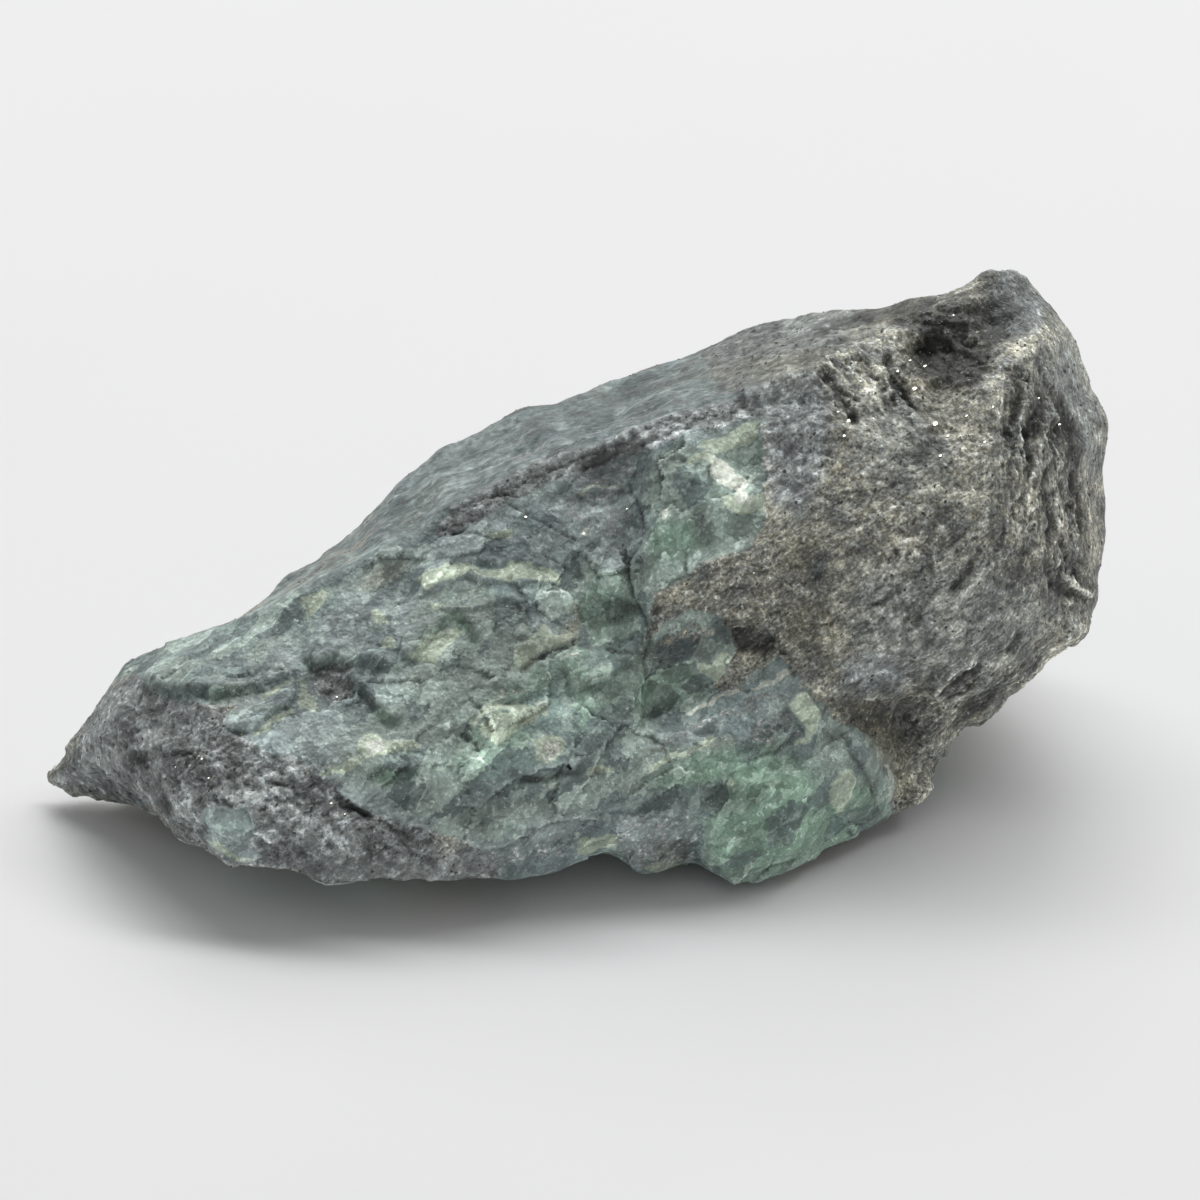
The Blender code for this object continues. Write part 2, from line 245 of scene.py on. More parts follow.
# ridges between the grooves, written the same way but standing up
RIDGES = [
    (0.4, 5, [(1026, 384), (1024, 404), (1022, 430), (1020, 448), (1017, 466)]),
    (0.4, 4, [(1037, 444), (1036, 460), (1032, 478), (1028, 500), (1026, 522), (1024, 542)]),
    (0.3, 5, [(1056, 476), (1055, 496), (1058, 516), (1064, 534)]),
    (0.3, 3, [(1000, 384), (999, 402), (997, 422)]),
    (0.4, 4, [(1052, 552), (1060, 570), (1070, 582), (1084, 592), (1096, 596)]),
    (0.4, 3, [(930, 702), (944, 687), (954, 675), (964, 662)]),
    (0.4, 3, [(918, 720), (930, 708), (944, 698), (958, 687)]),
    (0.3, 6, [(1006, 557), (992, 565), (978, 574), (966, 590), (956, 606)]),
    (0.3, 3, [(884, 507), (897, 502), (903, 510), (899, 521)]),
    (0.3, 3, [(964, 333), (975, 331), (986, 336)]),
    (0.4, 8, [(841, 352), (852, 366), (864, 382), (876, 400)]),
    (0.3, 6, [(868, 342), (880, 372), (892, 396), (904, 414)]),
    (0.3, 4, [(95, 768), (88, 752), (86, 736), (92, 722)]),
    (0.3, 4, [(112, 762), (124, 755), (136, 748), (150, 752)]),
]
LUMP_SHARE = 0.55  # of the heights given below
# (height in mm, edge width in px, shape): plates and knobs stand out, recesses and pits go in
LUMPS = [
    # the emerald
    (0.3, 5, CREAM_PLATE),
    (-0.35, 8, oval(392, 776, 26, 10, 4)),
    (0.15, 4, area((417, 580), (446, 566), (470, 567), (500, 570), (512, 562), (564, 577), (560, 585),
        (500, 580), (470, 572), (426, 591))),
    (-0.3, 5, area((406, 661), (428, 638), (442, 628), (456, 627), (464, 631), (462, 640), (446, 650),
        (434, 667))),
    (0.4, 9, area((497, 608), (510, 600), (522, 603), (530, 613), (531, 628), (525, 640), (508, 640),
        (496, 630))),
    (0.3, 4, CREAM_KNOB),
    (0.45, 6, area((600, 628), (630, 619), (644, 626), (645, 650), (636, 660), (616, 668), (603, 682),
        (590, 682), (570, 690), (566, 668), (574, 652), (596, 642))),
    (-0.4, 10, area((578, 606), (600, 600), (622, 598), (641, 604), (641, 614), (628, 619), (606, 624),
        (590, 631), (576, 620))),
    (0.8, 12, area((594, 580), (604, 572), (620, 571), (629, 580), (629, 592), (612, 599), (597, 594))),
    (-0.3, 8, area((571, 552), (600, 539), (608, 556), (598, 572), (574, 579))),
    (0.35, 8, area((572, 553), (590, 545), (603, 548), (602, 564), (588, 574), (572, 574))),
    (0.85, 12, area((472, 723), (477, 711), (490, 705), (514, 706), (521, 716), (510, 732), (496, 744),
        (480, 742), (473, 735))),
    (-0.5, 5, oval(466, 736, 6, 6)),
    (-0.4, 4, oval(476, 748, 5, 4)),
    (-0.45, 8, area((303, 662), (330, 666), (352, 668), (345, 680), (352, 700), (336, 706), (321, 699),
        (308, 681))),
    (-0.8, 12, area((642, 684), (650, 676), (664, 684), (684, 697), (672, 708), (656, 718), (641, 719))),
    (-0.3, 8, area((656, 671), (684, 668), (700, 678), (707, 692), (692, 698), (674, 686))),
    (-0.5, 4, oval(710, 690, 6, 3, -30)),
    (-0.35, 10, CREST_RECESS),
    (0.35, 5, area((574, 491), (592, 485), (624, 487), (618, 499), (602, 507), (588, 502))),
    (0.3, 5, area((658, 520), (657, 538), (661, 559), (683, 547), (691, 533), (693, 519), (675, 513))),
    (-0.3, 6, area((670, 560), (690, 551), (695, 562), (688, 573), (672, 577))),
    (0.15, 5, area((709, 458), (724, 457), (748, 478), (756, 498), (738, 502), (716, 486))),
    (-0.35, 6, oval(676, 462, 11, 6, 10)),
    (0.4, 5, area((478, 836), (490, 825), (506, 820), (524, 823), (526, 832), (504, 845), (484, 848))),
    (0.4, 6, LOW_PLATE),
    (0.35, 6, oval(842, 790, 23, 12, 78)),
    (0.3, 5, area((789, 706), (797, 693), (810, 694), (822, 713), (819, 730), (822, 752), (815, 768),
        (799, 768), (791, 754), (803, 736), (800, 722))),
    (0.25, 4, oval(729, 783, 6, 4, 60)),
    (0.25, 3, area((781, 841), (789, 838), (795, 840), (786, 848))),
    # the pointed end
    (0.3, 5, area((204, 818), (216, 809), (246, 812), (254, 826), (244, 842), (218, 846))),
    (-0.4, 5, oval(288, 856, 6, 5)),
    (-0.3, 7, oval(136, 757, 11, 7)),
    (-0.3, 7, oval(74, 770, 8, 6, 70)),
    (0.35, 6, oval(143, 737, 5, 4)),
    # the schist
    (-0.7, 14, area((905, 345), (925, 335), (958, 344), (975, 352), (985, 362), (960, 372), (950, 385),
        (925, 385), (908, 362))),
    (0.3, 10, area((930, 368), (948, 358), (975, 360), (982, 370), (965, 386), (940, 388))),
    (-0.4, 12, area((962, 305), (990, 308), (1012, 318), (1010, 334), (985, 330), (968, 322))),
    (-0.4, 8, oval(930, 318, 30, 10, 15)),
    (-0.4, 8, oval(935, 440, 12, 8, 60)),
    (-0.3, 6, oval(929, 414, 5, 7)),
    (-0.4, 6, oval(848, 418, 7, 9, -60)),
    (-0.5, 12, area((733, 622), (755, 622), (778, 634), (776, 652), (758, 655), (738, 648), (728, 634))),
    (-0.7, 12, area((893, 700), (915, 688), (940, 672), (934, 690), (926, 712), (908, 722), (892, 716))),
    (0.3, 8, oval(802, 551, 17, 14, 70)),
    (-0.2, 6, oval(818, 566, 14, 6, 80)),
    (-0.15, 5, oval(818, 494, 9, 5, 30)),
    (-0.15, 5, oval(857, 490, 8, 5, -20)),
    (-0.15, 5, oval(853, 552, 9, 5, 30)),
    (-0.15, 4, oval(926, 641, 5, 4)),
    (-0.15, 4, oval(932, 655, 5, 4)),
    (-0.15, 4, oval(955, 615, 6, 4, 30)),
    (0.4, 10, oval(872, 678, 32, 15, -5)),
    (0.5, 8, oval(919, 792, 13, 9, 30)),
    (-0.4, 7, oval(940, 732, 14, 8, 60)),
    (-0.15, 5, oval(927, 767, 7, 5)),
]
# (height in mm, softness in px, shape): swellings that reach round to the side that isn't seen
SWELLINGS = [
    (0.25, 22, area((1070, 410), (1130, 390), (1150, 470), (1140, 640), (1090, 668), (1078, 600),
        (1082, 500))),
    (-0.10, 22, area((1030, 280), (1060, 270), (1120, 330), (1120, 400), (1082, 400), (1060, 350),
        (1036, 310))),
    (1.2, 18, oval(1004, 264, 26, 22)),
]
# (strength, softness in px, shape): worn smooth
WORN = [
    (0.7, 16, area((960, 262), (1000, 240), (1070, 270), (1150, 400), (1140, 640), (1085, 660), (1084, 590),
        (1090, 500), (1082, 430), (1060, 360), (1030, 318), (985, 300))),
    (0.7, 10, area((160, 640), (250, 605), (300, 586), (300, 650), (262, 680), (190, 682), (160, 674))),
    (0.6, 12, area((84, 740), (100, 690), (150, 640), (170, 650), (150, 676), (120, 700))),
    (0.6, 10, area((262, 735), (300, 706), (340, 708), (396, 728), (395, 750), (330, 768), (290, 752))),
    (0.6, 10, area((300, 606), (340, 590), (410, 606), (420, 630), (396, 656), (306, 650))),
    (0.5, 12, area((720, 760), (790, 745), (830, 780), (840, 830), (770, 860), (720, 850))),
]


def carve_ledges(x, y, ragged):
    """Steps in mm. A step is full along its path, then falls away over its reach on the raised side."""
    height = np.zeros(x.shape)
    for rise, face, reach, path in LEDGES:
        near = Shape(path).near(x, y, 3 * reach)
        gap, travel = along_path(x[near], y[near], path)
        ends = ramp(0, 0.15, travel) * ramp(0, 0.15, 1 - travel)
        high_side = np.exp(-np.maximum(gap, 0) / reach)
        broken_face = ramp(-face, 0, gap)
        height[near] += rise * ends * np.where(gap > 0, high_side, broken_face) * (0.8 + 0.4 * ragged[near])
    return height


def carve_lines(x, y, ragged, lines):
    """Lines cut in, in mm and below 0, that swell and pinch out as ragged goes from 0 to 1."""
    height = np.zeros(x.shape)
    for depth, half_width, path in lines:
        near = Shape(path).near(x, y, 2.5 * half_width)
        gap, travel = along_path(x[near], y[near], path)
        ends = ramp(-0.02, 0.2, travel) * ramp(-0.02, 0.2, 1 - travel)
        wide = half_width * (0.8 + 0.7 * ragged[near])
        height[near] -= depth * ends * (0.6 + 0.6 * ragged[near]) * ramp(1.1, 0, np.abs(gap) / wide)
    return height


def carve_lumps(x, y):
    """Raised plates and sunk recesses, in mm, with rounded rims."""
    height = np.zeros(x.shape)
    for rise, edge, shape in LUMPS:
        near = shape.near(x, y, edge)
        rim = max(3, 0.6 * edge)
        height[near] += LUMP_SHARE * rise * ramp(-rim / 2, rim, shape.depth(x[near], y[near]))
    return height


# ---------------------------------------------------------------- colour zones on the seen side
# The top that slopes away behind the worn crest, left to right along the crest and back.
SLOPING_TOP = [
    area((120, 690), (180, 643), (255, 615), (300, 591), (350, 570), (380, 550), (420, 540), (433, 530),
        (440, 517), (470, 502), (500, 484), (520, 472), (560, 454), (600, 444), (640, 427), (680, 412),
        (720, 404), (752, 399), (765, 386), (800, 372), (815, 362), (838, 345), (880, 330), (925, 305),
        (940, 270), (820, 280), (700, 320), (560, 370), (400, 440), (300, 540), (160, 640)),
]
# (strength in mm, degrees that the ribs lean, softness in px, shape): where the schist's layers show
RIBS = [
    (0.25, -55, 22, area((810, 350), (880, 340), (930, 380), (960, 440), (900, 450), (850, 430))),
    (0.25, 42, 18, area((900, 720), (925, 680), (1000, 630), (1100, 600), (1090, 660), (960, 770),
        (930, 800), (900, 780))),
    (0.40, 22, 26, area((720, 345), (800, 310), (900, 300), (960, 290), (930, 330), (850, 350),
        (760, 385))),
    (0.30, -4, 22, area((830, 460), (960, 452), (1000, 480), (960, 505), (830, 500))),
    (0.30, 52, 24, area((900, 510), (1000, 520), (990, 640), (930, 680), (870, 600))),
    (0.35, -48, 22, area((1020, 560), (1060, 530), (1105, 600), (1080, 640), (1020, 620))),
    (0.30, -35, 20, area((60, 780), (110, 700), (200, 700), (330, 780), (440, 860), (250, 870),
        (150, 800))),
    (0.45, 25, 8, band(30, (440, 530), (470, 512), (500, 494), (520, 482), (560, 465), (600, 455),
        (640, 438), (680, 422), (720, 414), (752, 406))),
    (0.20, 80, 20, area((760, 395), (812, 380), (830, 420), (822, 500), (790, 560), (765, 510))),
]
# (strength in mm, degrees that the furrows lean, softness in px, shape): where the schist has split
FURROWS = [
    (0.50, 92, 16, area((1000, 362), (1030, 364), (1062, 384), (1084, 430), (1088, 520), (1082, 560),
        (1050, 560), (1014, 520), (1002, 450))),
    (0.30, 84, 16, area((996, 500), (1030, 520), (1040, 600), (1000, 610), (980, 560))),
    (0.40, -56, 12, area((812, 354), (850, 345), (900, 345), (925, 390), (920, 420), (880, 410), (850, 425),
        (830, 400))),
    (0.45, -48, 12, area((1040, 540), (1070, 540), (1100, 590), (1090, 605), (1060, 600))),
    (0.45, 46, 12, area((905, 720), (940, 682), (1000, 645), (1040, 640), (1050, 660), (960, 720),
        (920, 750))),
]
# (strength, softness in px, shape): which way the fine strokes run; they rise to the right elsewhere
UPRIGHT_STROKES = [
    (1.0, 18, area((985, 345), (1060, 340), (1115, 400), (1110, 560), (1060, 570), (1000, 545),
        (990, 450))),
    (0.8, 8, area((632, 560), (650, 560), (654, 740), (634, 744))),
    (0.7, 8, area((428, 762), (446, 762), (446, 806), (430, 806))),
]
FALLING_STROKES = [
    (1.0, 18, area((800, 350), (880, 335), (930, 380), (960, 440), (900, 450), (850, 430))),
    (0.9, 18, area((1025, 560), (1060, 530), (1110, 560), (1105, 610), (1060, 640), (1025, 620))),
    (0.8, 20, area((60, 780), (110, 700), (200, 710), (250, 780), (170, 830))),
]
# (how much rougher, softness in px, shape)
CRAGGY = [
    (0.9, 16, area((890, 320), (1000, 305), (1010, 340), (985, 390), (920, 385), (895, 350))),
    (0.6, 20, area((180, 740), (280, 750), (440, 830), (430, 870), (280, 860), (190, 810))),
    (0.5, 20, area((720, 600), (800, 610), (810, 680), (740, 680))),
    (0.6, 14, area((650, 800), (700, 800), (700, 865), (640, 865))),
]
SCHIST = [
    band(24, (446, 528), (470, 512), (500, 493), (520, 482), (560, 465), (600, 454), (640, 438), (680, 424),
        (720, 415), (752, 406)),
    area((756, 397), (764, 440), (764, 479), (767, 513), (749, 546), (703, 567), (680, 580), (660, 590),
        (650, 605), (649, 640), (660, 628), (690, 610), (722, 616), (736, 640), (728, 668), (712, 692),
        (732, 690), (752, 674), (778, 656), (800, 672), (806, 690), (822, 702), (836, 722), (856, 727),
        (874, 738), (889, 756), (895, 780), (893, 812), (900, 840), (1140, 700), (1140, 300), (1030, 230),
        (900, 270), (740, 300), (700, 352), (720, 390)),
    area((20, 800), (50, 740), (100, 690), (136, 672), (150, 693), (172, 700), (205, 703), (238, 706),
        (222, 728), (250, 740), (262, 752), (300, 757), (328, 782), (352, 806), (400, 822), (470, 842),
        (500, 860), (500, 900), (250, 900), (100, 820)),
    area((310, 668), (350, 668), (352, 696), (334, 702), (320, 692)),
]
# where emerald and schist are mixed in small patches
MIXED = [
    area((640, 745), (680, 722), (740, 690), (800, 676), (800, 696), (758, 718), (700, 742), (650, 766)),
    area((620, 806), (690, 800), (706, 840), (700, 868), (640, 876), (600, 852)),
    area((535, 738), (560, 736), (574, 756), (552, 768), (530, 758)),
    area((738, 722), (788, 696), (800, 726), (770, 746), (742, 752)),
    area((480, 690), (500, 678), (532, 680), (530, 698), (502, 708), (484, 704)),
    area((466, 812), (500, 808), (498, 822), (470, 830)),
    area((470, 842), (560, 836), (600, 850), (560, 866), (500, 874), (440, 876)),
    area((150, 690), (230, 705), (262, 745), (330, 760), (370, 800), (330, 800), (250, 770), (200, 740)),
    area((650, 645), (664, 622), (700, 612), (724, 620), (728, 640), (700, 650), (664, 655)),
    area((540, 500), (560, 474), (590, 452), (628, 440), (656, 436), (652, 450), (640, 470), (636, 520),
        (632, 560), (606, 566), (584, 540), (560, 520)),
]
EMERALD_IN_SCHIST = [
    area((202, 812), (218, 806), (248, 810), (257, 828), (248, 846), (262, 858), (228, 862), (208, 846)),
]
# (strength, softness in px, shape)
GREEN = [
    (1.0, 30, area((650, 782), (690, 752), (742, 738), (800, 745), (826, 790), (870, 780), (884, 808),
        (850, 838), (780, 872), (735, 882), (704, 862), (706, 800))),
    (0.6, 14, area((640, 684), (654, 668), (690, 664), (712, 690), (684, 704), (644, 724))),
    (0.3, 16, area((645, 500), (650, 470), (760, 415), (768, 520), (700, 560), (655, 590), (640, 560))),
    (0.5, 10, area((652, 524), (690, 520), (698, 545), (670, 558), (652, 550))),
    (0.5, 10, area((572, 604), (600, 570), (632, 570), (642, 612), (600, 628), (578, 626))),
    (0.6, 24, area((560, 640), (644, 620), (642, 720), (600, 740), (480, 790), (440, 770), (470, 710))),
    (0.8, 5, area((140, 678), (172, 692), (206, 690), (262, 686), (262, 698), (206, 702), (150, 696))),
    (0.9, 7, area((300, 655), (400, 660), (400, 674), (352, 676), (402, 728), (388, 728), (345, 694),
        (322, 704), (304, 684))),
    (0.7, 8, area((400, 665), (440, 620), (460, 610), (482, 640), (474, 646), (450, 624), (412, 662))),
    (0.8, 8, oval(392, 776, 26, 11, 4)),
    (0.6, 10, oval(230, 824, 26, 14)),
    (0.7, 8, oval(498, 568, 26, 8, 5)),
    (0.5, 14, area((300, 590), (340, 574), (340, 612), (306, 622))),
    (0.6, 10, area((570, 840), (610, 828), (622, 854), (590, 862))),
    (0.5, 10, oval(500, 838, 26, 12, 20)),
]
CREAM = [
    CREAM_PLATE,
    band(8, (324, 774), (344, 769), (360, 759)),
    area((417, 580), (430, 570), (446, 566), (462, 562), (470, 567), (486, 571), (500, 570), (512, 562),
        (530, 566), (547, 571), (564, 577), (560, 585), (530, 580), (500, 580), (480, 576), (470, 572),
        (450, 580), (426, 591)),
    CREAM_STEP,
    CREAM_KNOB,
    band(7, (476, 722), (482, 712), (498, 707), (514, 707), (530, 712), (545, 708)),
    band(6, (265, 696), (277, 692), (291, 683)),
    band(5, (256, 733), (274, 722), (292, 711)),
    area((299, 679), (307, 680), (310, 694), (317, 700), (315, 712), (302, 706)),
    oval(380, 620, 12, 5, -40),
    oval(388, 647, 9, 5, 30),
    area((302, 600), (322, 588), (330, 596), (318, 612), (306, 622)),
    band(3, (430, 606), (451, 611), (466, 612)),
    area((690, 664), (712, 662), (728, 652), (732, 660), (722, 678), (716, 688), (708, 676)),
    band(6, (650, 770), (668, 758), (690, 750), (712, 738)),
    oval(842, 790, 22, 11, 78),
    area((791, 706), (797, 695), (809, 695), (820, 713), (816, 730), (808, 745), (796, 744), (804, 734),
        (800, 720)),
    area((699, 445), (716, 440), (740, 428), (758, 418), (760, 440), (735, 448), (712, 456)),
    band(7, (690, 462), (708, 458), (722, 464)),
    area((724, 496), (766, 492), (768, 508), (750, 516), (730, 510)),
    oval(729, 783, 6, 4, 60),
    oval(666, 867, 22, 6, -5),
    band(6, (212, 846), (236, 860), (264, 862)),
    area((530, 740), (552, 735), (566, 744), (556, 760), (536, 758)),
    band(6, (586, 772), (600, 770), (612, 768)),
    oval(500, 727, 20, 14, 20),
    oval(520, 718, 20, 9, 10),
    band(5, (575, 500), (590, 486), (622, 486)),
    oval(500, 533, 14, 4, 2),
    oval(596, 842, 22, 9, 12),
    oval(248, 776, 12, 8, -40),
]
# pale veins and bruised edges, and painted highlights where smooth cleavage faces catch the lamps
WHITE_AND_HIGHLIGHTS = [
    area((711, 457), (724, 458), (736, 469), (747, 479), (747, 490), (731, 491), (717, 481), (711, 469)),
    area((732, 492), (745, 490), (757, 498), (750, 505), (738, 500)),
    area((540, 745), (556, 742), (560, 754), (546, 758)),
    oval(583, 533, 7, 3, 40),
    band(4, (886, 765), (889, 780), (888, 800)),
    band(5, (690, 714), (712, 700), (738, 690)),
    band(5, (752, 690), (772, 682), (792, 668)),
    area((362, 744), (380, 738), (384, 750), (372, 755)),
    band(4, (562, 658), (570, 655), (577, 653)),
    oval(664, 512, 4, 6),
]
# darker minerals and fresh fracture, and painted shade on ledge faces that turn down, in recesses and beside
# a rounded plate
DARK_AND_PAINTED_SHADE = [
    band(14, (141, 682), (156, 691), (172, 695), (192, 693), (204, 694)),
    band(13, (208, 698), (225, 697), (245, 694), (264, 691)),
    area((302, 656), (330, 664), (400, 662), (404, 670), (370, 674), (356, 676), (336, 672), (316, 680),
        (340, 704), (362, 700), (362, 708), (334, 710), (318, 700), (304, 682)),
    band(10, (350, 680), (366, 698), (380, 711), (398, 726)),
    band(9, (404, 662), (424, 643), (440, 628), (450, 618)),
    area((448, 614), (462, 611), (474, 620), (482, 636), (476, 644), (466, 632), (458, 620)),
    oval(392, 777, 25, 8, 4),
    area((472, 562), (490, 566), (506, 565), (514, 558), (504, 556), (486, 558)),
    area((608, 606), (626, 600), (642, 604), (640, 614), (618, 622)),
    area((642, 706), (656, 704), (670, 708), (654, 720), (641, 720)),
    band(7, (514, 772), (530, 776), (552, 775), (574, 768)),
    band(5, (845, 740), (852, 757), (862, 769), (872, 786), (872, 806)),
    area((824, 736), (834, 722), (846, 734), (836, 744)),
    band(5, (754, 759), (772, 752), (786, 744), (801, 729)),
    area((740, 750), (762, 728), (786, 706), (796, 722), (778, 742), (756, 756)),
    CREST_RECESS,
    oval(676, 462, 12, 6, 12),
    area((700, 786), (740, 782), (770, 790), (764, 806), (730, 812), (704, 806)),
    area((646, 838), (676, 836), (690, 846), (686, 857), (660, 856)),
    area((640, 655), (660, 640), (700, 636), (730, 644), (726, 656), (690, 660), (660, 666)),
    area((340, 804), (380, 812), (430, 838), (440, 866), (400, 860), (360, 836)),
    area((700, 520), (716, 528), (712, 545), (700, 550), (694, 540)),
    band(6, (502, 790), (508, 800), (490, 812), (478, 826)),
]
# the blackest mica spots, and painted shade in pits, grooves and the hollow near the top
BLACK_AND_PAINTED_SHADE = [
    oval(935, 442, 12, 8, 60),
    area((716, 630), (728, 622), (746, 626), (757, 633), (772, 640), (782, 652), (776, 658), (760, 650),
        (744, 650), (736, 640), (724, 640)),
    oval(818, 568, 13, 6, 80),
    oval(818, 494, 9, 4, 30),
    oval(857, 491, 8, 4, -20),
    oval(853, 552, 9, 4, 30),
    oval(942, 512, 5, 5),
    oval(136, 757, 11, 7),
    oval(164, 802, 7, 10),
    band(5, (269, 781), (282, 785), (298, 788)),
    oval(288, 856, 5, 4),
    oval(926, 641, 4, 3),
    oval(903, 728, 5, 14, 0),
    oval(966, 580, 6, 12, -40),
    oval(1064, 590, 8, 4, -10),
    band(6, (818, 332), (845, 324), (875, 315)),
]
# (strength, softness in px, shape)
STAIN = [
    (1.0, 12, area((838, 706), (858, 700), (890, 712), (905, 745), (905, 780), (888, 760), (872, 742),
        (852, 728))),
    (0.8, 10, area((866, 740), (905, 745), (912, 800), (896, 812), (888, 780))),
    (0.8, 10, oval(803, 551, 17, 14, 70)),
    (0.7, 12, area((684, 374), (730, 360), (800, 350), (836, 346), (812, 372), (760, 384), (720, 382))),
    (0.35, 12, area((380, 540), (400, 500), (440, 470), (460, 480), (440, 510), (400, 540))),
    (0.25, 16, area((650, 600), (664, 590), (700, 575), (760, 560), (770, 600), (740, 612), (690, 605),
        (654, 625))),
    (0.8, 5, band(9, (574, 606), (578, 620), (572, 628))),
    (0.6, 6, area((555, 628), (574, 622), (586, 640), (570, 650), (555, 640))),
    (0.7, 14, area((350, 588), (372, 566), (402, 558), (416, 566), (400, 582), (372, 596))),
    (0.6, 10, area((700, 740), (735, 734), (740, 745), (706, 754))),
    (0.5, 12, oval(240, 776, 16, 9)),
    (0.3, 30, area((760, 520), (830, 500), (880, 560), (840, 640), (770, 640), (740, 580))),
    (0.4, 30, area((900, 320), (960, 300), (940, 420), (880, 380))),
    (0.4, 20, oval(950, 420, 30, 20)),
    (0.6, 14, area((900, 340), (985, 340), (985, 388), (905, 388))),
    (0.5, 7, oval(826, 706, 8, 5)),
    (0.5, 12, area((660, 836), (690, 836), (690, 866), (650, 866))),
    (0.4, 20, area((780, 600), (860, 620), (840, 690), (790, 680))),
    (0.5, 6, oval(527, 722, 8, 6)),
]
# (strength, softness in px, shape): bluish where positive
BLUE = [
    (1.0, 24, area((60, 780), (110, 700), (200, 700), (330, 770), (440, 830), (440, 880), (240, 880),
        (150, 820))),
    (0.8, 25, area((240, 690), (310, 600), (470, 520), (620, 450), (640, 540), (560, 560), (420, 600),
        (400, 690), (330, 760), (270, 740))),
    (1.0, 14, area((760, 395), (812, 372), (830, 400), (822, 480), (800, 520), (770, 500))),
    (0.9, 12, area((1000, 262), (1050, 300), (1040, 330), (1005, 336), (985, 308))),
    (0.8, 14, area((842, 664), (880, 660), (904, 672), (900, 690), (860, 694), (844, 684))),
    (0.7, 20, area((1040, 380), (1070, 330), (1100, 400), (1095, 480), (1070, 440))),
    (0.9, 20, area((60, 780), (110, 690), (150, 660), (180, 700), (150, 780))),
    (0.9, 16, area((300, 860), (380, 860), (500, 862), (520, 880), (300, 884))),
    (0.6, 16, area((850, 730), (890, 760), (892, 806), (880, 800), (876, 764))),
    (1.0, 12, oval(818, 568, 13, 7, 80)),
    (1.0, 16, area((540, 500), (590, 452), (656, 436), (644, 470), (640, 560), (606, 570), (570, 530))),
    (1.0, 14, band(44, (436, 530), (470, 512), (500, 494), (520, 482), (560, 465), (600, 455), (640, 440),
        (680, 424), (720, 414), (756, 404))),
    (0.7, 20, area((180, 643), (255, 615), (300, 591), (380, 550), (433, 530), (500, 484), (600, 444),
        (680, 412), (760, 390), (838, 345), (880, 300), (700, 300), (300, 500), (150, 630))),
    (0.7, 10, area((640, 745), (680, 722), (740, 690), (800, 676), (800, 720), (758, 745), (700, 750))),
    (0.4, 14, area((840, 400), (900, 392), (960, 440), (940, 500), (860, 490))),
    (0.8, 14, area((600, 806), (690, 800), (706, 840), (700, 868), (640, 876), (440, 878), (460, 840))),
    (0.8, 14, area((574, 528), (600, 524), (630, 506), (640, 520), (632, 560), (606, 566), (600, 540))),
    (0.5, 30, area((850, 560), (1000, 560), (1060, 620), (1000, 690), (850, 690))),
]
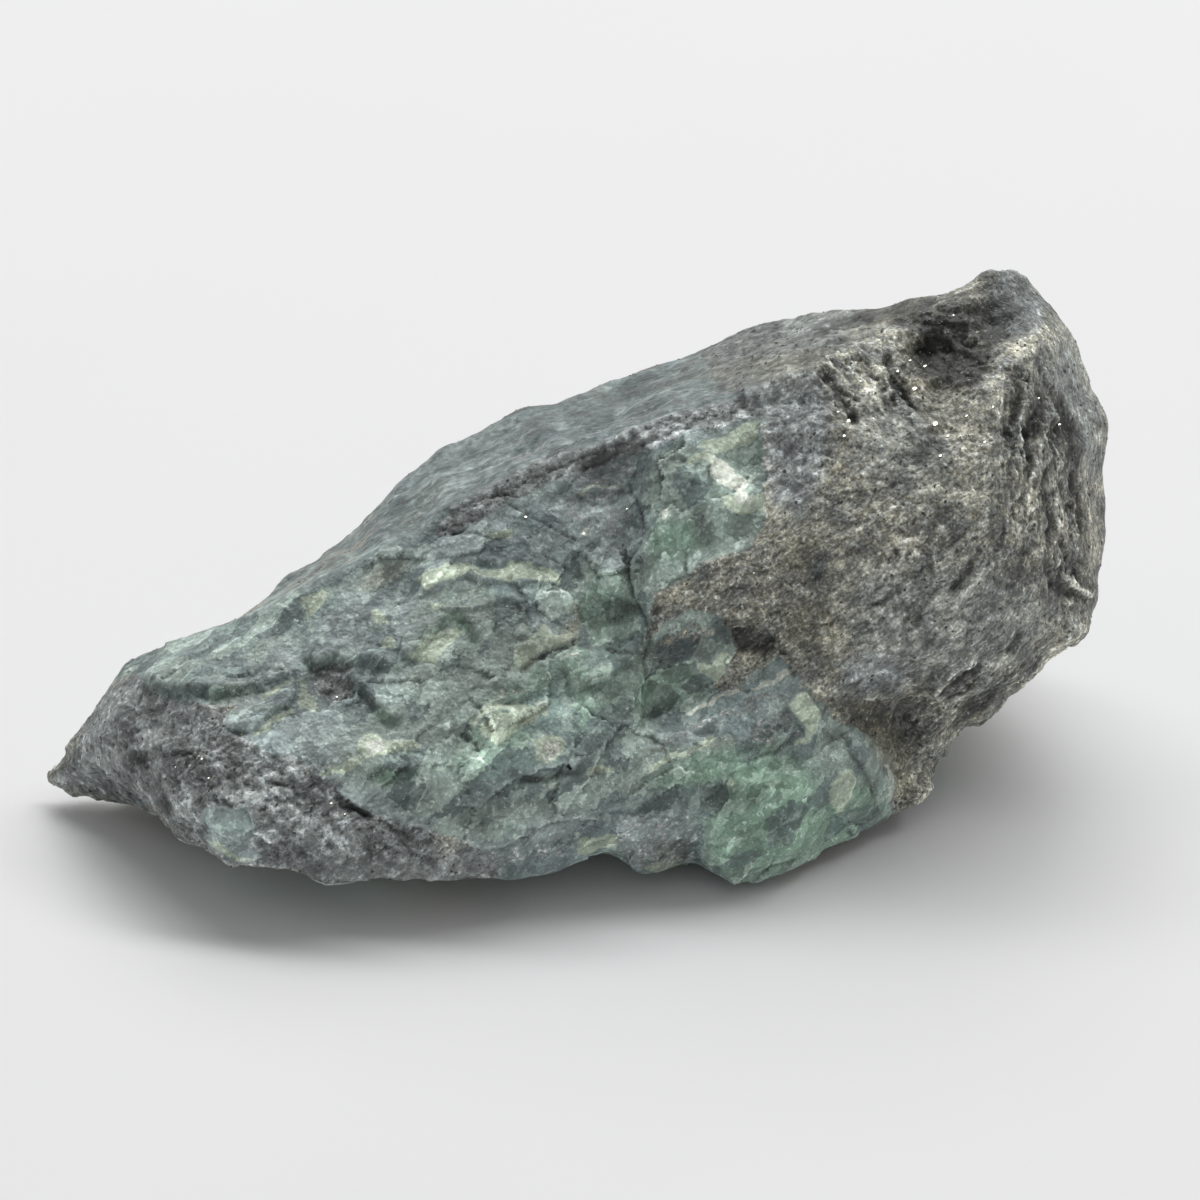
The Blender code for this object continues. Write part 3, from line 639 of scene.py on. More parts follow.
# (lighter when positive, softness in px, shape): painted highlights and painted shade, such as the glint on
# a pale cleavage face and the shade under the long ledge, together with the stone's own lighter and darker
# patches
PAINTED_LIGHT_AND_TONE = [
    (0.1, 20, area((150, 650), (180, 640), (300, 592), (310, 650), (262, 682), (190, 682), (160, 676))),
    (-0.05, 16, area((170, 650), (250, 620), (280, 640), (250, 665), (190, 668))),
    (-0.5, 14, area((225, 690), (270, 665), (300, 662), (305, 690), (260, 705))),
    (0.15, 20, area((262, 735), (300, 700), (360, 712), (400, 740), (350, 756), (280, 752))),
    (-0.35, 16, area((290, 715), (340, 720), (360, 750), (320, 770), (285, 750))),
    (0.1, 20, area((200, 790), (250, 760), (330, 790), (350, 830), (280, 862), (200, 830))),
    (-0.45, 20, area((120, 700), (230, 710), (240, 760), (180, 800), (130, 780), (100, 740))),
    (0.7, 6, oval(204, 727, 16, 8, 20)),
    (0.8, 5, oval(230, 722, 10, 4, 10)),
    (0.9, 6, oval(284, 768, 18, 9, 35)),
    (0.7, 5, oval(190, 793, 5, 10, 10)),
    (0.6, 5, oval(146, 728, 16, 6, -50)),
    (0.6, 5, oval(116, 712, 4, 8, -30)),
    (0.8, 4, oval(346, 816, 9, 5, 20)),
    (0.7, 4, oval(265, 746, 10, 4, -30)),
    (-0.8, 5, oval(139, 760, 13, 6, -50)),
    (-0.9, 5, oval(166, 802, 14, 6, -70)),
    (-0.5, 6, oval(72, 774, 7, 10)),
    (-0.4, 8, oval(108, 784, 24, 7, -15)),
    (-0.5, 8, area((172, 758), (230, 752), (230, 784), (180, 780))),
    (-0.4, 16, area((60, 792), (80, 766), (150, 770), (200, 812), (180, 826))),
    (-0.35, 16, area((470, 610), (530, 600), (530, 700), (480, 700), (440, 690))),
    (-0.3, 20, area((560, 470), (600, 445), (660, 432), (650, 520), (620, 560), (570, 560))),
    (0.5, 12, band(20, (490, 590), (540, 592))),
    (-0.3, 16, area((440, 510), (500, 500), (560, 540), (560, 560), (480, 556), (430, 540))),
    (-0.4, 16, area((490, 500), (530, 480), (575, 490), (560, 520), (510, 520))),
    (0.35, 10, area((498, 700), (600, 700), (600, 730), (540, 740), (500, 750), (430, 780), (440, 750))),
    (0.5, 14, area((480, 750), (560, 745), (570, 780), (510, 790), (480, 780))),
    (0.35, 12, area((690, 700), (760, 690), (780, 720), (720, 735))),
    (0.3, 12, area((420, 560), (560, 572), (580, 590), (480, 600), (420, 600))),
    (0.35, 12, oval(655, 438, 30, 12, 15)),
    (0.6, 16, oval(716, 478, 28, 24, -40)),
    (0.7, 6, area((708, 456), (722, 457), (750, 480), (757, 500), (738, 503), (718, 488))),
    (0.35, 12, band(26, (786, 388), (800, 420), (812, 440))),
    (0.45, 14, band(30, (820, 455), (880, 478), (940, 486), (990, 470))),
    (0.3, 20, area((750, 480), (820, 500), (800, 560), (760, 600), (745, 560))),
    (0.35, 14, oval(893, 604, 30, 16, 10)),
    (0.2, 16, area((1060, 310), (1085, 360), (1105, 430), (1085, 420), (1060, 370), (1045, 330))),
    (-0.25, 20, area((1080, 440), (1110, 440), (1105, 640), (1080, 640))),
    (-0.55, 24, area((900, 310), (960, 296), (1010, 310), (1004, 345), (960, 385), (900, 350))),
    (-0.5, 14, area((970, 280), (1010, 275), (1030, 300), (1015, 325), (985, 320))),
    (-0.3, 24, area((1000, 380), (1075, 400), (1085, 580), (1000, 600), (990, 480))),
    (0.3, 8, area((1052, 468), (1066, 470), (1070, 530), (1056, 530))),
    (0.6, 8, band(12, (1019, 430), (1025, 461), (1019, 493), (1012, 530))),
    (0.5, 8, band(9, (1040, 443), (1034, 484), (1039, 529))),
    (-0.5, 14, oval(918, 438, 20, 22)),
    (-0.4, 12, oval(900, 404, 18, 16)),
    (0.4, 10, band(14, (880, 318), (898, 338), (908, 356))),
    (0.5, 10, band(14, (990, 388), (1008, 356), (1050, 334))),
    (0.4, 10, band(14, (841, 353), (860, 372), (877, 398))),
    (0.35, 10, band(12, (868, 342), (895, 365), (917, 389))),
    (-0.3, 20, area((740, 560), (830, 560), (830, 640), (740, 640))),
    (-0.4, 20, area((820, 700), (900, 690), (930, 740), (905, 800), (880, 745))),
    (-0.35, 14, area((850, 680), (905, 676), (910, 710), (860, 712))),
    (-0.5, 14, band(20, (1030, 664), (1000, 690), (960, 725), (925, 730))),
    (-0.45, 6, band(12, (148, 690), (200, 694), (262, 692))),
    (0.7, 14, area((790, 310), (840, 304), (850, 326), (810, 350), (790, 340))),
    (1.0, 12, oval(664, 436, 26, 12, 15)),
    (0.4, 16, area((130, 705), (210, 700), (230, 730), (170, 745), (130, 740))),
    (0.35, 14, area((360, 745), (430, 750), (430, 768), (366, 766))),
    (0.3, 8, band(10, (180, 640), (255, 612), (300, 589), (350, 568), (380, 548), (440, 515))),
    (-0.5, 8, band(14, (902, 322), (925, 310), (945, 303), (968, 295))),
    (-0.4, 16, area((985, 285), (1030, 290), (1045, 320), (1010, 325), (985, 310))),
    (0.3, 8, oval(1003, 276, 16, 7, 5)),
    (-0.7, 5, area((842, 556), (852, 546), (866, 545), (866, 553), (852, 558))),
    (-0.5, 14, area((840, 700), (905, 700), (912, 750), (890, 770), (870, 735))),
    (-0.5, 24, area((500, 415), (680, 372), (740, 390), (640, 415), (540, 445))),
    (0.35, 8, band(6, (560, 420), (620, 404), (680, 388), (740, 396))),
]
# (lighter when positive, softness in px, shape): broken faces and splits with clear edges. The splits,
# furrows, hollows, recesses and the place under the long ledge are darker as painted shade, and some broken
# plates and thin strokes are made lighter or darker
FACES_AND_PAINTED_SHADE = [
    # the schist's splits and furrows, darkened as painted shade, with a few lighter strips
    (-1.0, 4, area((817, 363), (824, 368), (836, 382), (846, 396), (856, 408), (857, 418), (848, 418),
        (842, 404), (832, 388), (822, 374))),
    (-1.0, 4, area((884, 354), (890, 360), (898, 374), (902, 386), (906, 402), (898, 398), (892, 386),
        (887, 374))),
    (-1.3, 5, area((918, 326), (930, 318), (950, 322), (962, 322), (1000, 326), (1012, 332), (1006, 338),
        (990, 338), (972, 334), (958, 338), (975, 345), (988, 352), (992, 358), (984, 372), (974, 384),
        (956, 388), (942, 388), (938, 372), (930, 378), (918, 378), (911, 370), (916, 352), (922, 340))),
    (-0.8, 6, area((920, 315), (940, 306), (962, 300), (975, 306), (972, 320), (990, 325), (1012, 326),
        (1012, 334), (990, 336), (960, 330), (925, 330))),
    (-0.4, 6, area((990, 300), (1004, 296), (1022, 300), (1028, 312), (1024, 322), (1004, 324),
        (994, 314))),
    (0.35, 5, area((888, 330), (905, 335), (916, 345), (912, 360), (905, 364), (893, 354), (884, 340))),
    (-0.6, 4, band(7, (816, 334), (832, 326), (850, 321), (872, 317))),
    (-0.5, 5, area((1006, 366), (1016, 362), (1024, 372), (1023, 396), (1020, 420), (1014, 442),
        (1006, 440), (1004, 420), (1008, 400), (1004, 384))),
    (-1.0, 5, area((1032, 386), (1046, 386), (1052, 396), (1048, 412), (1044, 432), (1034, 440),
        (1030, 428), (1032, 408))),
    (-1.5, 4, area((1056, 392), (1066, 402), (1072, 418), (1078, 438), (1080, 460), (1076, 474),
        (1070, 460), (1066, 440), (1060, 424), (1056, 408))),
    (-0.8, 3, band(4, (1072, 474), (1074, 490), (1078, 512), (1084, 522))),
    (-0.7, 3, band(6, (1026, 462), (1024, 480), (1022, 500))),
    (-0.9, 3, band(6, (1048, 464), (1045, 486), (1047, 506), (1051, 530), (1050, 548))),
    (-0.5, 8, area((1036, 556), (1050, 548), (1062, 556), (1066, 580), (1062, 596), (1048, 606),
        (1036, 604), (1034, 580))),
    (-0.7, 3, band(5, (1056, 548), (1066, 562), (1076, 576), (1084, 586))),
    (-0.8, 3, band(6, (1058, 592), (1070, 596), (1080, 600))),
    (-0.9, 3, area((1008, 652), (1012, 640), (1022, 630), (1026, 632), (1018, 646), (1013, 656))),
    (-0.9, 4, band(7, (954, 590), (962, 582), (974, 568), (976, 560))),
    (-0.9, 5, area((900, 702), (912, 690), (926, 680), (944, 672), (960, 664), (950, 676), (938, 690),
        (930, 702), (922, 716), (906, 722), (896, 714))),
    (-0.7, 3, band(5, (940, 700), (952, 688), (966, 676), (982, 668))),
    (-0.5, 4, band(7, (1014, 684), (1024, 672), (1034, 660))),
    (0.5, 3, band(5, (930, 704), (940, 690), (955, 675), (966, 664))),
    (0.4, 4, band(8, (980, 572), (992, 564), (1006, 558))),
    (0.5, 4, area((1062, 578), (1072, 576), (1092, 594), (1086, 598), (1070, 588))),
    (0.3, 4, band(9, (1030, 480), (1026, 500), (1022, 530))),
    (-0.4, 8, area((840, 705), (890, 706), (905, 740), (895, 760), (872, 742), (850, 725))),
    # the emerald's broken plates
    (0.6, 3, area((417, 590), (440, 575), (460, 566), (500, 570), (512, 562), (560, 575), (560, 583),
        (500, 580), (478, 577), (466, 572), (450, 582))),
    (-0.25, 3, area((488, 604), (510, 598), (524, 605), (531, 620), (530, 640), (512, 642), (496, 632))),
    (-0.45, 3, area((576, 606), (600, 600), (622, 600), (636, 604), (628, 616), (612, 622), (588, 628),
        (578, 618))),
    (-0.7, 4, area((604, 598), (630, 600), (640, 606), (634, 614), (616, 608))),
    (-0.5, 4, area((618, 562), (628, 560), (631, 580), (633, 598), (624, 596), (620, 580))),
    (-0.9, 3, area((641, 710), (664, 710), (656, 720), (642, 721))),
    (-0.7, 4, area((634, 640), (648, 636), (648, 656), (640, 664))),
    (0.3, 3, area((520, 600), (540, 590), (568, 592), (572, 604), (556, 612), (534, 612))),
    (-0.8, 3, area((550, 646), (556, 642), (572, 648), (560, 653))),
    (-0.35, 3, area((530, 668), (548, 656), (568, 652), (562, 668), (556, 678), (540, 690), (528, 684))),
    (0.4, 3, area((600, 630), (604, 624), (613, 626), (612, 640), (602, 642))),
    (-0.55, 3, area((592, 690), (620, 668), (640, 657), (642, 722), (612, 724), (594, 714))),
    (0.3, 3, area((552, 704), (566, 694), (590, 690), (592, 712), (580, 716), (556, 716))),
    (-0.4, 3, area((484, 694), (500, 680), (524, 680), (531, 692), (524, 704), (500, 708))),
    (0.3, 3, area((478, 714), (500, 706), (530, 712), (560, 706), (556, 718), (520, 720), (480, 722))),
    (0.35, 3, area((472, 722), (488, 716), (490, 736), (478, 744), (472, 738))),
    (-0.5, 3, oval(462, 740, 9, 9)),
    (-0.9, 3, oval(475, 748, 3, 6)),
    (0.35, 4, area((436, 760), (456, 752), (500, 756), (494, 774), (460, 778), (440, 776))),
    (-0.1, 3, area((376, 772), (392, 766), (418, 770), (416, 782), (392, 786), (378, 782))),
    (0.15, 3, area((357, 740), (378, 732), (396, 741), (424, 747), (392, 756), (366, 756))),
    (-0.5, 3, band(6, (514, 778), (536, 778), (560, 775), (578, 770))),
    (0.4, 3, oval(600, 764, 6, 7)),
    (-0.45, 3, area((456, 812), (480, 806), (500, 818), (486, 830), (464, 826))),
    (0.3, 3, area((484, 836), (490, 824), (508, 819), (528, 824), (526, 838), (505, 846))),
    (-0.3, 4, area((398, 800), (430, 790), (446, 812), (436, 828), (404, 822))),
    (0.25, 3, LOW_PLATE),
    (-0.35, 4, area((500, 840), (540, 838), (560, 844), (540, 852), (505, 850))),
    (0.3, 4, area((372, 690), (395, 684), (412, 688), (406, 708), (398, 722), (384, 704))),
    (0.5, 3, band(4, (406, 722), (414, 716), (426, 710))),
    (0.1, 3, CREAM_STEP),
    (0.5, 3, area((645, 505), (660, 513), (690, 517), (693, 520), (690, 538), (683, 548), (672, 556),
        (664, 560), (659, 552), (657, 530), (648, 528))),
    (-0.35, 3, area((646, 684), (664, 684), (684, 697), (672, 708), (644, 706))),
    (-0.55, 3, area((658, 671), (684, 667), (702, 679), (706, 694), (690, 698), (672, 684))),
    (-0.25, 4, area((646, 650), (660, 640), (700, 636), (732, 644), (726, 660), (700, 664), (660, 668))),
    (0.3, 3, area((602, 628), (636, 620), (643, 634), (640, 652), (616, 658), (604, 650))),
    (-0.35, 3, area((571, 552), (600, 539), (606, 556), (598, 572), (574, 579))),
    (0.1, 3, area((596, 574), (612, 570), (622, 578), (614, 594), (600, 594))),
    (-0.4, 6, area((606, 530), (630, 524), (634, 556), (624, 566), (600, 560))),
    # the green block and its border
    (-0.15, 3, area((733, 752), (742, 735), (775, 708), (795, 705), (800, 728), (775, 745), (757, 756))),
    (0.35, 3, area((792, 702), (800, 693), (812, 696), (822, 714), (818, 735), (806, 740), (798, 724))),
    (0.3, 3, area((830, 800), (832, 778), (844, 769), (858, 774), (854, 800), (842, 808))),
    (-0.25, 4, area((708, 790), (735, 781), (765, 786), (762, 806), (728, 812))),
    (-0.1, 5, area((846, 728), (870, 740), (888, 770), (886, 806), (862, 812), (860, 780))),
    (0.35, 3, area((672, 718), (700, 700), (740, 690), (752, 700), (716, 722), (690, 730))),
    # painted shade under the long ledge
    (-0.45, 5, area((222, 696), (262, 690), (290, 700), (280, 718), (240, 712))),
    # thin strokes below the crest and along the upright split
    (0.6, 2, band(3, (566, 521), (590, 513), (612, 508))),
    (0.7, 2, band(4, (576, 536), (590, 528), (604, 520))),
    (0.6, 2, band(3, (575, 491), (592, 486), (626, 486))),
    (0.5, 2, band(3, (570, 468), (590, 457), (612, 449))),
    (0.6, 2, band(3, (640, 458), (662, 452), (684, 453), (700, 458))),
    (0.6, 2, band(3, (650, 476), (670, 473), (694, 475), (706, 482))),
    (0.6, 2, band(3, (651, 476), (651, 496))),
    (0.5, 2, band(3, (651, 572), (648, 586), (646, 600), (648, 618))),
    (0.5, 2, band(3, (646, 648), (644, 672), (642, 700))),
    (-0.5, 3, band(5, (618, 453), (600, 466), (580, 476), (566, 484))),
    # painted shade in the hollow near the top
    (-1.7, 6, area((900, 350), (914, 338), (960, 342), (992, 340), (990, 358), (978, 386), (948, 392),
        (926, 388), (906, 374))),
    (-0.55, 9, area((884, 318), (912, 302), (940, 296), (1000, 300), (1012, 330), (960, 334), (900, 334))),
    # the long ledge's face and two green patches
    (0.4, 5, area((150, 688), (206, 688), (262, 686), (262, 696), (206, 700), (156, 698))),
    (0.15, 10, area((650, 524), (690, 520), (700, 545), (670, 560), (652, 552))),
    (0.15, 20, area((664, 782), (742, 742), (800, 750), (826, 790), (850, 830), (780, 868), (710, 850))),
    # the crest and the top behind it
    (-0.5, 4, band(7, (566, 420), (606, 404), (640, 393), (672, 385), (704, 387), (744, 398))),
    (0.35, 6, area((690, 372), (730, 360), (790, 352), (800, 372), (760, 384), (724, 380), (700, 380))),
    (0.3, 4, area((470, 470), (520, 440), (560, 424), (600, 412), (640, 402), (600, 420), (540, 450))),
    # painted shade in the recess right of the split
    (-0.5, 6, area((700, 614), (720, 612), (748, 626), (776, 640), (790, 660), (780, 664), (752, 650),
        (730, 644), (712, 632))),
    (-0.3, 3, band(5, (780, 656), (790, 668), (800, 678))),
    # painted shade in the cleft beside the top
    (-0.6, 6, area((846, 322), (870, 312), (905, 306), (930, 300), (918, 318), (890, 326), (860, 332))),
    # under the cream lens
    (0.3, 6, area((484, 586), (520, 582), (548, 592), (530, 602), (490, 604))),
]


def crisp(x, y, shapes, softness):
    """0.5 on the shapes' outlines, 1 well inside and 0 well outside."""
    value = np.zeros(x.shape)
    for shape in shapes:
        near = shape.near(x, y, softness)
        depth = shape.depth(x[near], y[near])
        value[near] = np.maximum(value[near], np.clip(0.5 + depth / (2 * softness), 0, 1))
    return value


def soft(x, y, patches):
    """The patches' strengths added up, each fading over its own softness."""
    value = np.zeros(x.shape)
    for strength, softness, shape in patches:
        near = shape.near(x, y, softness)
        value[near] += strength * ramp(-softness, softness, shape.depth(x[near], y[near]))
    return value


# ---------------------------------------------------------------- layers and grain all round
LAYER_AXIS = np.array((-0.25, 0.45, 0.86))  # square to the schist's layers
PLATE_LEAN = 33  # degrees in the picture that the emerald's broken plates run up to the right
RIB_TIMES_LONGER = 7.0
FURROW_TIMES_LONGER = 10.0


def fractal(spots, size_mm, part, octaves):
    """Noise around 0 whose widest forms are about size_mm. Each part is another stretch of it."""
    points = (spots / size_mm + part).tolist()
    values = [noise.fractal(point, 0.9, 2.0, octaves, noise_basis="PERLIN_ORIGINAL") for point in points]
    return np.array(values)


def drawn_out(spots, direction, times):
    """The places squeezed along a direction, which draws what is made there out along it."""
    return spots - np.outer(spots @ direction, direction) * (1 - 1 / times)


def leaning(degrees):
    """The direction that runs up to the right at this angle in the picture."""
    return math.cos(math.radians(degrees)) * RIGHT + math.sin(math.radians(degrees)) * UP


def facets(spots, size_mm, part):
    """Tilted flat facets about size_mm wide, each around one of noise's scattered points.

    Gives each place its height, and a random value from -1 to 1 that its whole facet shares.
    """
    heights, owners = [], []
    for spot in (spots / size_mm + part).tolist():
        centre = noise.voronoi(spot)[1][0]
        lean = noise.cell_vector(centre * 41.0) * 2 - Vector((1, 1, 1))
        heights.append(lean.dot(Vector(spot) - centre))
        owners.append(lean.x)
    return np.array(heights), np.array(owners)


def emerald_relief(spots, wobble):
    """The emerald's broken plates in mm, and the random value of the plate that each place is on."""
    along = leaning(PLATE_LEAN)
    tilt, owner = facets(drawn_out(spots + 0.25 * wobble, along, 2.2), 3.2, 0.0)
    small_tilt, small_owner = facets(drawn_out(spots + 0.2 * wobble, along, 1.9), 1.2, 30.0)
    fine = fractal(drawn_out(spots, along, 1.6), 0.9, 5.0, 3)
    broad = fractal(drawn_out(spots, along, 2.0), 5.0, 15.0, 3)
    height = 0.24 * broad + 0.34 * tilt + 0.10 * owner + 0.08 * small_tilt + 0.02 * small_owner
    return height + 0.04 * fine, 0.6 * owner + 0.4 * small_owner


def schist_relief(spots, wobble):
    """The schist's scales and grain in mm, and a random value for each scale."""
    layered = drawn_out(spots + 0.5 * wobble, LAYER_AXIS, 0.5)
    lumps = fractal(layered, 6.0, 17.0, 3)
    tilt, owner = facets(layered, 1.7, 50.0)
    small_tilt, small_owner = facets(drawn_out(spots, LAYER_AXIS, 0.6), 0.75, 70.0)
    grain = fractal(spots, 0.7, 9.0, 3)
    height = 0.45 * lumps + 0.13 * tilt + 0.04 * owner + 0.04 * small_tilt + 0.01 * small_owner
    return height + 0.07 * grain, 0.5 * owner + 0.5 * small_owner


def near_patches(spots, x, y, patches, times):
    """For each patch the vertices near it, its strength on them, and their places drawn out times longer."""
    for strength, lean, softness, shape in patches:
        near = np.flatnonzero(shape.near(x, y, softness))
        fade = ramp(-softness, softness, shape.depth(x[near], y[near]))
        yield near, strength * fade, drawn_out(spots[near], leaning(lean), times)


def ribs_and_furrows(spots, x, y):
    """Ridges in mm along the schist's layers, and broken furrows where it has split."""
    height = np.zeros(x.shape)
    for near, strength, narrow in near_patches(spots, x, y, RIBS, RIB_TIMES_LONGER):
        wide_ridges = np.abs(fractal(narrow, 2.2, 0.0, 3)) ** 0.6
        thin_ridges = np.abs(fractal(narrow, 0.8, 20.0, 2)) ** 0.6
        height[near] += strength * (1.4 * wide_ridges + 0.8 * thin_ridges - 0.9)
    for near, strength, narrow in near_patches(spots, x, y, FURROWS, FURROW_TIMES_LONGER):
        wide_furrows = np.abs(fractal(narrow, 1.2, 33.0, 2))
        thin_furrows = np.abs(fractal(narrow, 0.6, 44.0, 2))
        broken_up = np.clip(0.8 + 1.1 * fractal(spots[near], 2.2, 55.0, 2), 0.2, 1.4)
        height[near] -= strength * broken_up * (1.8 * wide_furrows + 1.2 * thin_furrows - 0.5)
    return height


# ---------------------------------------------------------------- the stone's mesh
VOXEL_MM = 0.48
ROUNDING_PASSES = 4
SHRINKING_MADE_UP = 0.9  # how much of what the rounding takes off is put back
EDGE_PASSES = 3
HUMP_PASSES = 14
SOLE_FADE_MM = 1.2  # the relief fades out towards the flat sole
WOBBLE_PX = 4.0  # how far the outlines drawn in the picture are bent
LEDGE_SHARE = 0.85
LINE_SHARE = 0.5
RIB_SHARE = 0.6
MIXED_SCHIST = 0.5
CALM_SCHIST = 0.42
CALM_MM = 0.12


def applied(stone):
    """Turns the object's modifiers into its own mesh."""
    depsgraph = bpy.context.evaluated_depsgraph_get()
    mesh = bpy.data.meshes.new_from_object(stone.evaluated_get(depsgraph))
    stone.modifiers.clear()
    stone.data = mesh


def fine_stone():
    """The CAD stone as an even mesh, twice as fine on the side that the camera sees."""
    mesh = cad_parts["raw_emerald"].data.copy()
    stone = bpy.data.objects.new("raw_emerald_surface", mesh)
    bpy.context.scene.collection.objects.link(stone)
    remesh = stone.modifiers.new("even", "REMESH")
    remesh.mode = "VOXEL"
    remesh.voxel_size = VOXEL_MM * MM
    applied(stone)
    bm = bmesh.new()
    bm.from_mesh(stone.data)
    seen = [face for face in bm.faces if face.normal.dot(OUT) > 0]
    edges = list({edge for face in seen for edge in face.edges})
    bmesh.ops.subdivide_edges(bm, edges=edges, cuts=1, use_grid_fill=True)
    bmesh.ops.triangulate(bm, faces=bm.faces[:])
    bm.to_mesh(stone.data)
    bm.free()
    return stone


def vertex_places(mesh):
    values = np.empty(len(mesh.vertices) * 3)
    mesh.vertices.foreach_get("co", values)
    return values.reshape(-1, 3) / MM


def vertex_normals(mesh):
    values = np.empty(len(mesh.vertices) * 3)
    mesh.vertex_normals.foreach_get("vector", values)
    return values.reshape(-1, 3)


def move(mesh, spots):
    mesh.vertices.foreach_set("co", (spots * MM).ravel())
    mesh.update()


def edge_ends(mesh):
    ends = np.empty(len(mesh.edges) * 2, int)
    mesh.edges.foreach_get("vertices", ends)
    return ends.reshape(-1, 2)


def smoothed(values, ends, passes):
    """Each value drawn halfway to the mean of its neighbours, passes times over."""
    values = values.reshape(len(values), -1)
    both = np.concatenate((ends, ends[:, ::-1]))
    count = np.bincount(both[:, 0], minlength=len(values))[:, None]
    for _ in range(passes):
        total = [np.bincount(both[:, 0], column[both[:, 1]], len(values)) for column in values.T]
        values = (values + np.stack(total, axis=1) / count) / 2
    return values.squeeze()


class Ground:
    """What the relief and the colours go by: for each vertex its place, how far it is seen, and noises."""

    def __init__(self, spots, normals):
        self.spots = spots
        self.normals = normals
        self.x, self.y = picture_place(spots)
        self.seen = ramp(0.0, 0.2, normals @ OUT)
        self.drift = fractal(spots, 11.0, 40.0, 3)
        self.ragged = np.clip(0.5 + 0.9 * fractal(spots, 1.7, 60.0, 2), 0, 1)
        self.wobble = np.stack([fractal(spots, 1.5, part, 3) for part in (70.0, 80.0, 100.0)], axis=1)
        self.wobbly = self.x + WOBBLE_PX * self.wobble[:, 0], self.y + WOBBLE_PX * self.wobble[:, 1]
        self.bent = (self.x + WOBBLE_PX * fractal(spots, 2.4, 120.0, 1),
                     self.y + WOBBLE_PX * fractal(spots, 2.4, 130.0, 1))
        self.calm = ramp(-0.6, -0.1, normals @ OUT) * crisp(self.x, self.y, SLOPING_TOP, 5)


def schist_share(ground):
    """1 where the stone is schist, 0 where it is emerald, and between where they are mixed."""
    drawn = crisp(*ground.wobbly, SCHIST, 10)
    drawn = np.maximum(drawn, MIXED_SCHIST * crisp(*ground.wobbly, MIXED, 12))
    drawn = np.minimum(drawn, 1 - crisp(*ground.wobbly, EMERALD_IN_SCHIST, 8))
    drawn = np.maximum(drawn, CALM_SCHIST * ground.calm)
    low_down = ramp(12, 2, ground.spots[:, 2]) * (ground.spots[:, 0] < 25)
    hidden = np.clip(0.75 + 1.2 * ground.drift - 0.5 * low_down, 0, 1)
    return ground.seen * drawn + (1 - ground.seen) * hidden


def relief(ground, rough):
    """How far each vertex moves out, in mm, and the plates, ribs and lines that the tones need too."""
    x, y, calm = ground.x, ground.y, ground.calm
    emerald_height, emerald_plate = emerald_relief(ground.spots, ground.wobble)
    schist_height, schist_scale = schist_relief(ground.spots, ground.wobble)
    fresh = 1 - soft(x, y, WORN)
    craggy = 1 + ground.seen * soft(x, y, CRAGGY)
    ribbed = ground.seen * rough * ribs_and_furrows(ground.spots + 0.5 * ground.wobble, x, y) * fresh
    grooves = carve_lines(*ground.bent, ground.ragged, GROOVES)
    lines = grooves - carve_lines(*ground.bent, ground.ragged, RIDGES)
    carved = LEDGE_SHARE * carve_ledges(*ground.bent, ground.ragged) + LINE_SHARE * lines
    height = (1 - rough) * (1 - 0.8 * calm) * fresh * emerald_height
    height += rough * (1 - 0.7 * calm) * schist_height * craggy * fresh
    height += RIB_SHARE * ribbed
    height += CALM_MM * calm * fractal(drawn_out(ground.spots, OUT, 2.0), 2.0, 25.0, 4)
    height += ground.seen * (carved + carve_lumps(*ground.bent))
    height += soft(x, y, SWELLINGS)
    height *= ramp(0, SOLE_FADE_MM, ground.spots[:, 2])
    return height, (1 - rough) * emerald_plate + rough * schist_scale, ribbed, lines


def tone(ground, ribbed, lines):
    """How many stops lighter or darker each vertex is than its colour: painted light and shade on the seen
    side, with the stone's own tones.
    """
    seen_tone = soft(ground.x, ground.y, PAINTED_LIGHT_AND_TONE)
    seen_tone -= 0.75 * crisp(*ground.wobbly, DARK_AND_PAINTED_SHADE, 4)
    seen_tone -= 0.9 * crisp(*ground.wobbly, BLACK_AND_PAINTED_SHADE, 6)
    # grooves and furrows darker and ridges and ribs lighter, in step with their relief: painted shade and
    # painted light
    seen_tone += 2.6 * ribbed + 2.2 * lines
    seen_tone += soft(*ground.wobbly, FACES_AND_PAINTED_SHADE)
    drawn_back = drawn_out(ground.spots + 0.6 * ground.wobble, OUT, 1.8)
    clouds = 0.6 * fractal(drawn_back, 2.3, 26.0, 3) + 1.0 * fractal(drawn_back, 0.7, 27.0, 2)
    seen_tone += ground.calm * (clouds - 0.75)
    return ground.seen * seen_tone + (1 - ground.seen) * 0.5 * fractal(ground.spots, 5.0, 90.0, 3)


def edges_and_humps(ground, shaped, ends):
    """How far each vertex stands out from its close and its wider surroundings, in mm."""
    level = smoothed(shaped, ends, EDGE_PASSES)
    wide_level = smoothed(level, ends, HUMP_PASSES)
    edge = np.sum((shaped - level) * ground.normals, axis=1)
    hump = np.sum((level - wide_level) * ground.normals, axis=1)
    return edge, hump


def colour_values(ground):
    """The strength of each colour at each vertex."""
    x, y, seen, drift = ground.x, ground.y, ground.seen, ground.drift
    hidden = 1 - seen
    return {
        "upright": seen * soft(x, y, UPRIGHT_STROKES),
        "falling": seen * soft(x, y, FALLING_STROKES),
        "green": seen * soft(x, y, GREEN) + hidden * ramp(-0.1, 0.3, drift) * 0.6,
        "cream": seen * crisp(*ground.wobbly, CREAM, 5),
        "vein_and_highlight": seen * crisp(*ground.wobbly, WHITE_AND_HIGHLIGHTS, 5),
        "stain": seen * soft(x, y, STAIN) + hidden * ramp(0.15, 0.5, -drift) * 0.5,
        "blue": seen * soft(x, y, BLUE) + hidden * 0.2,
    }


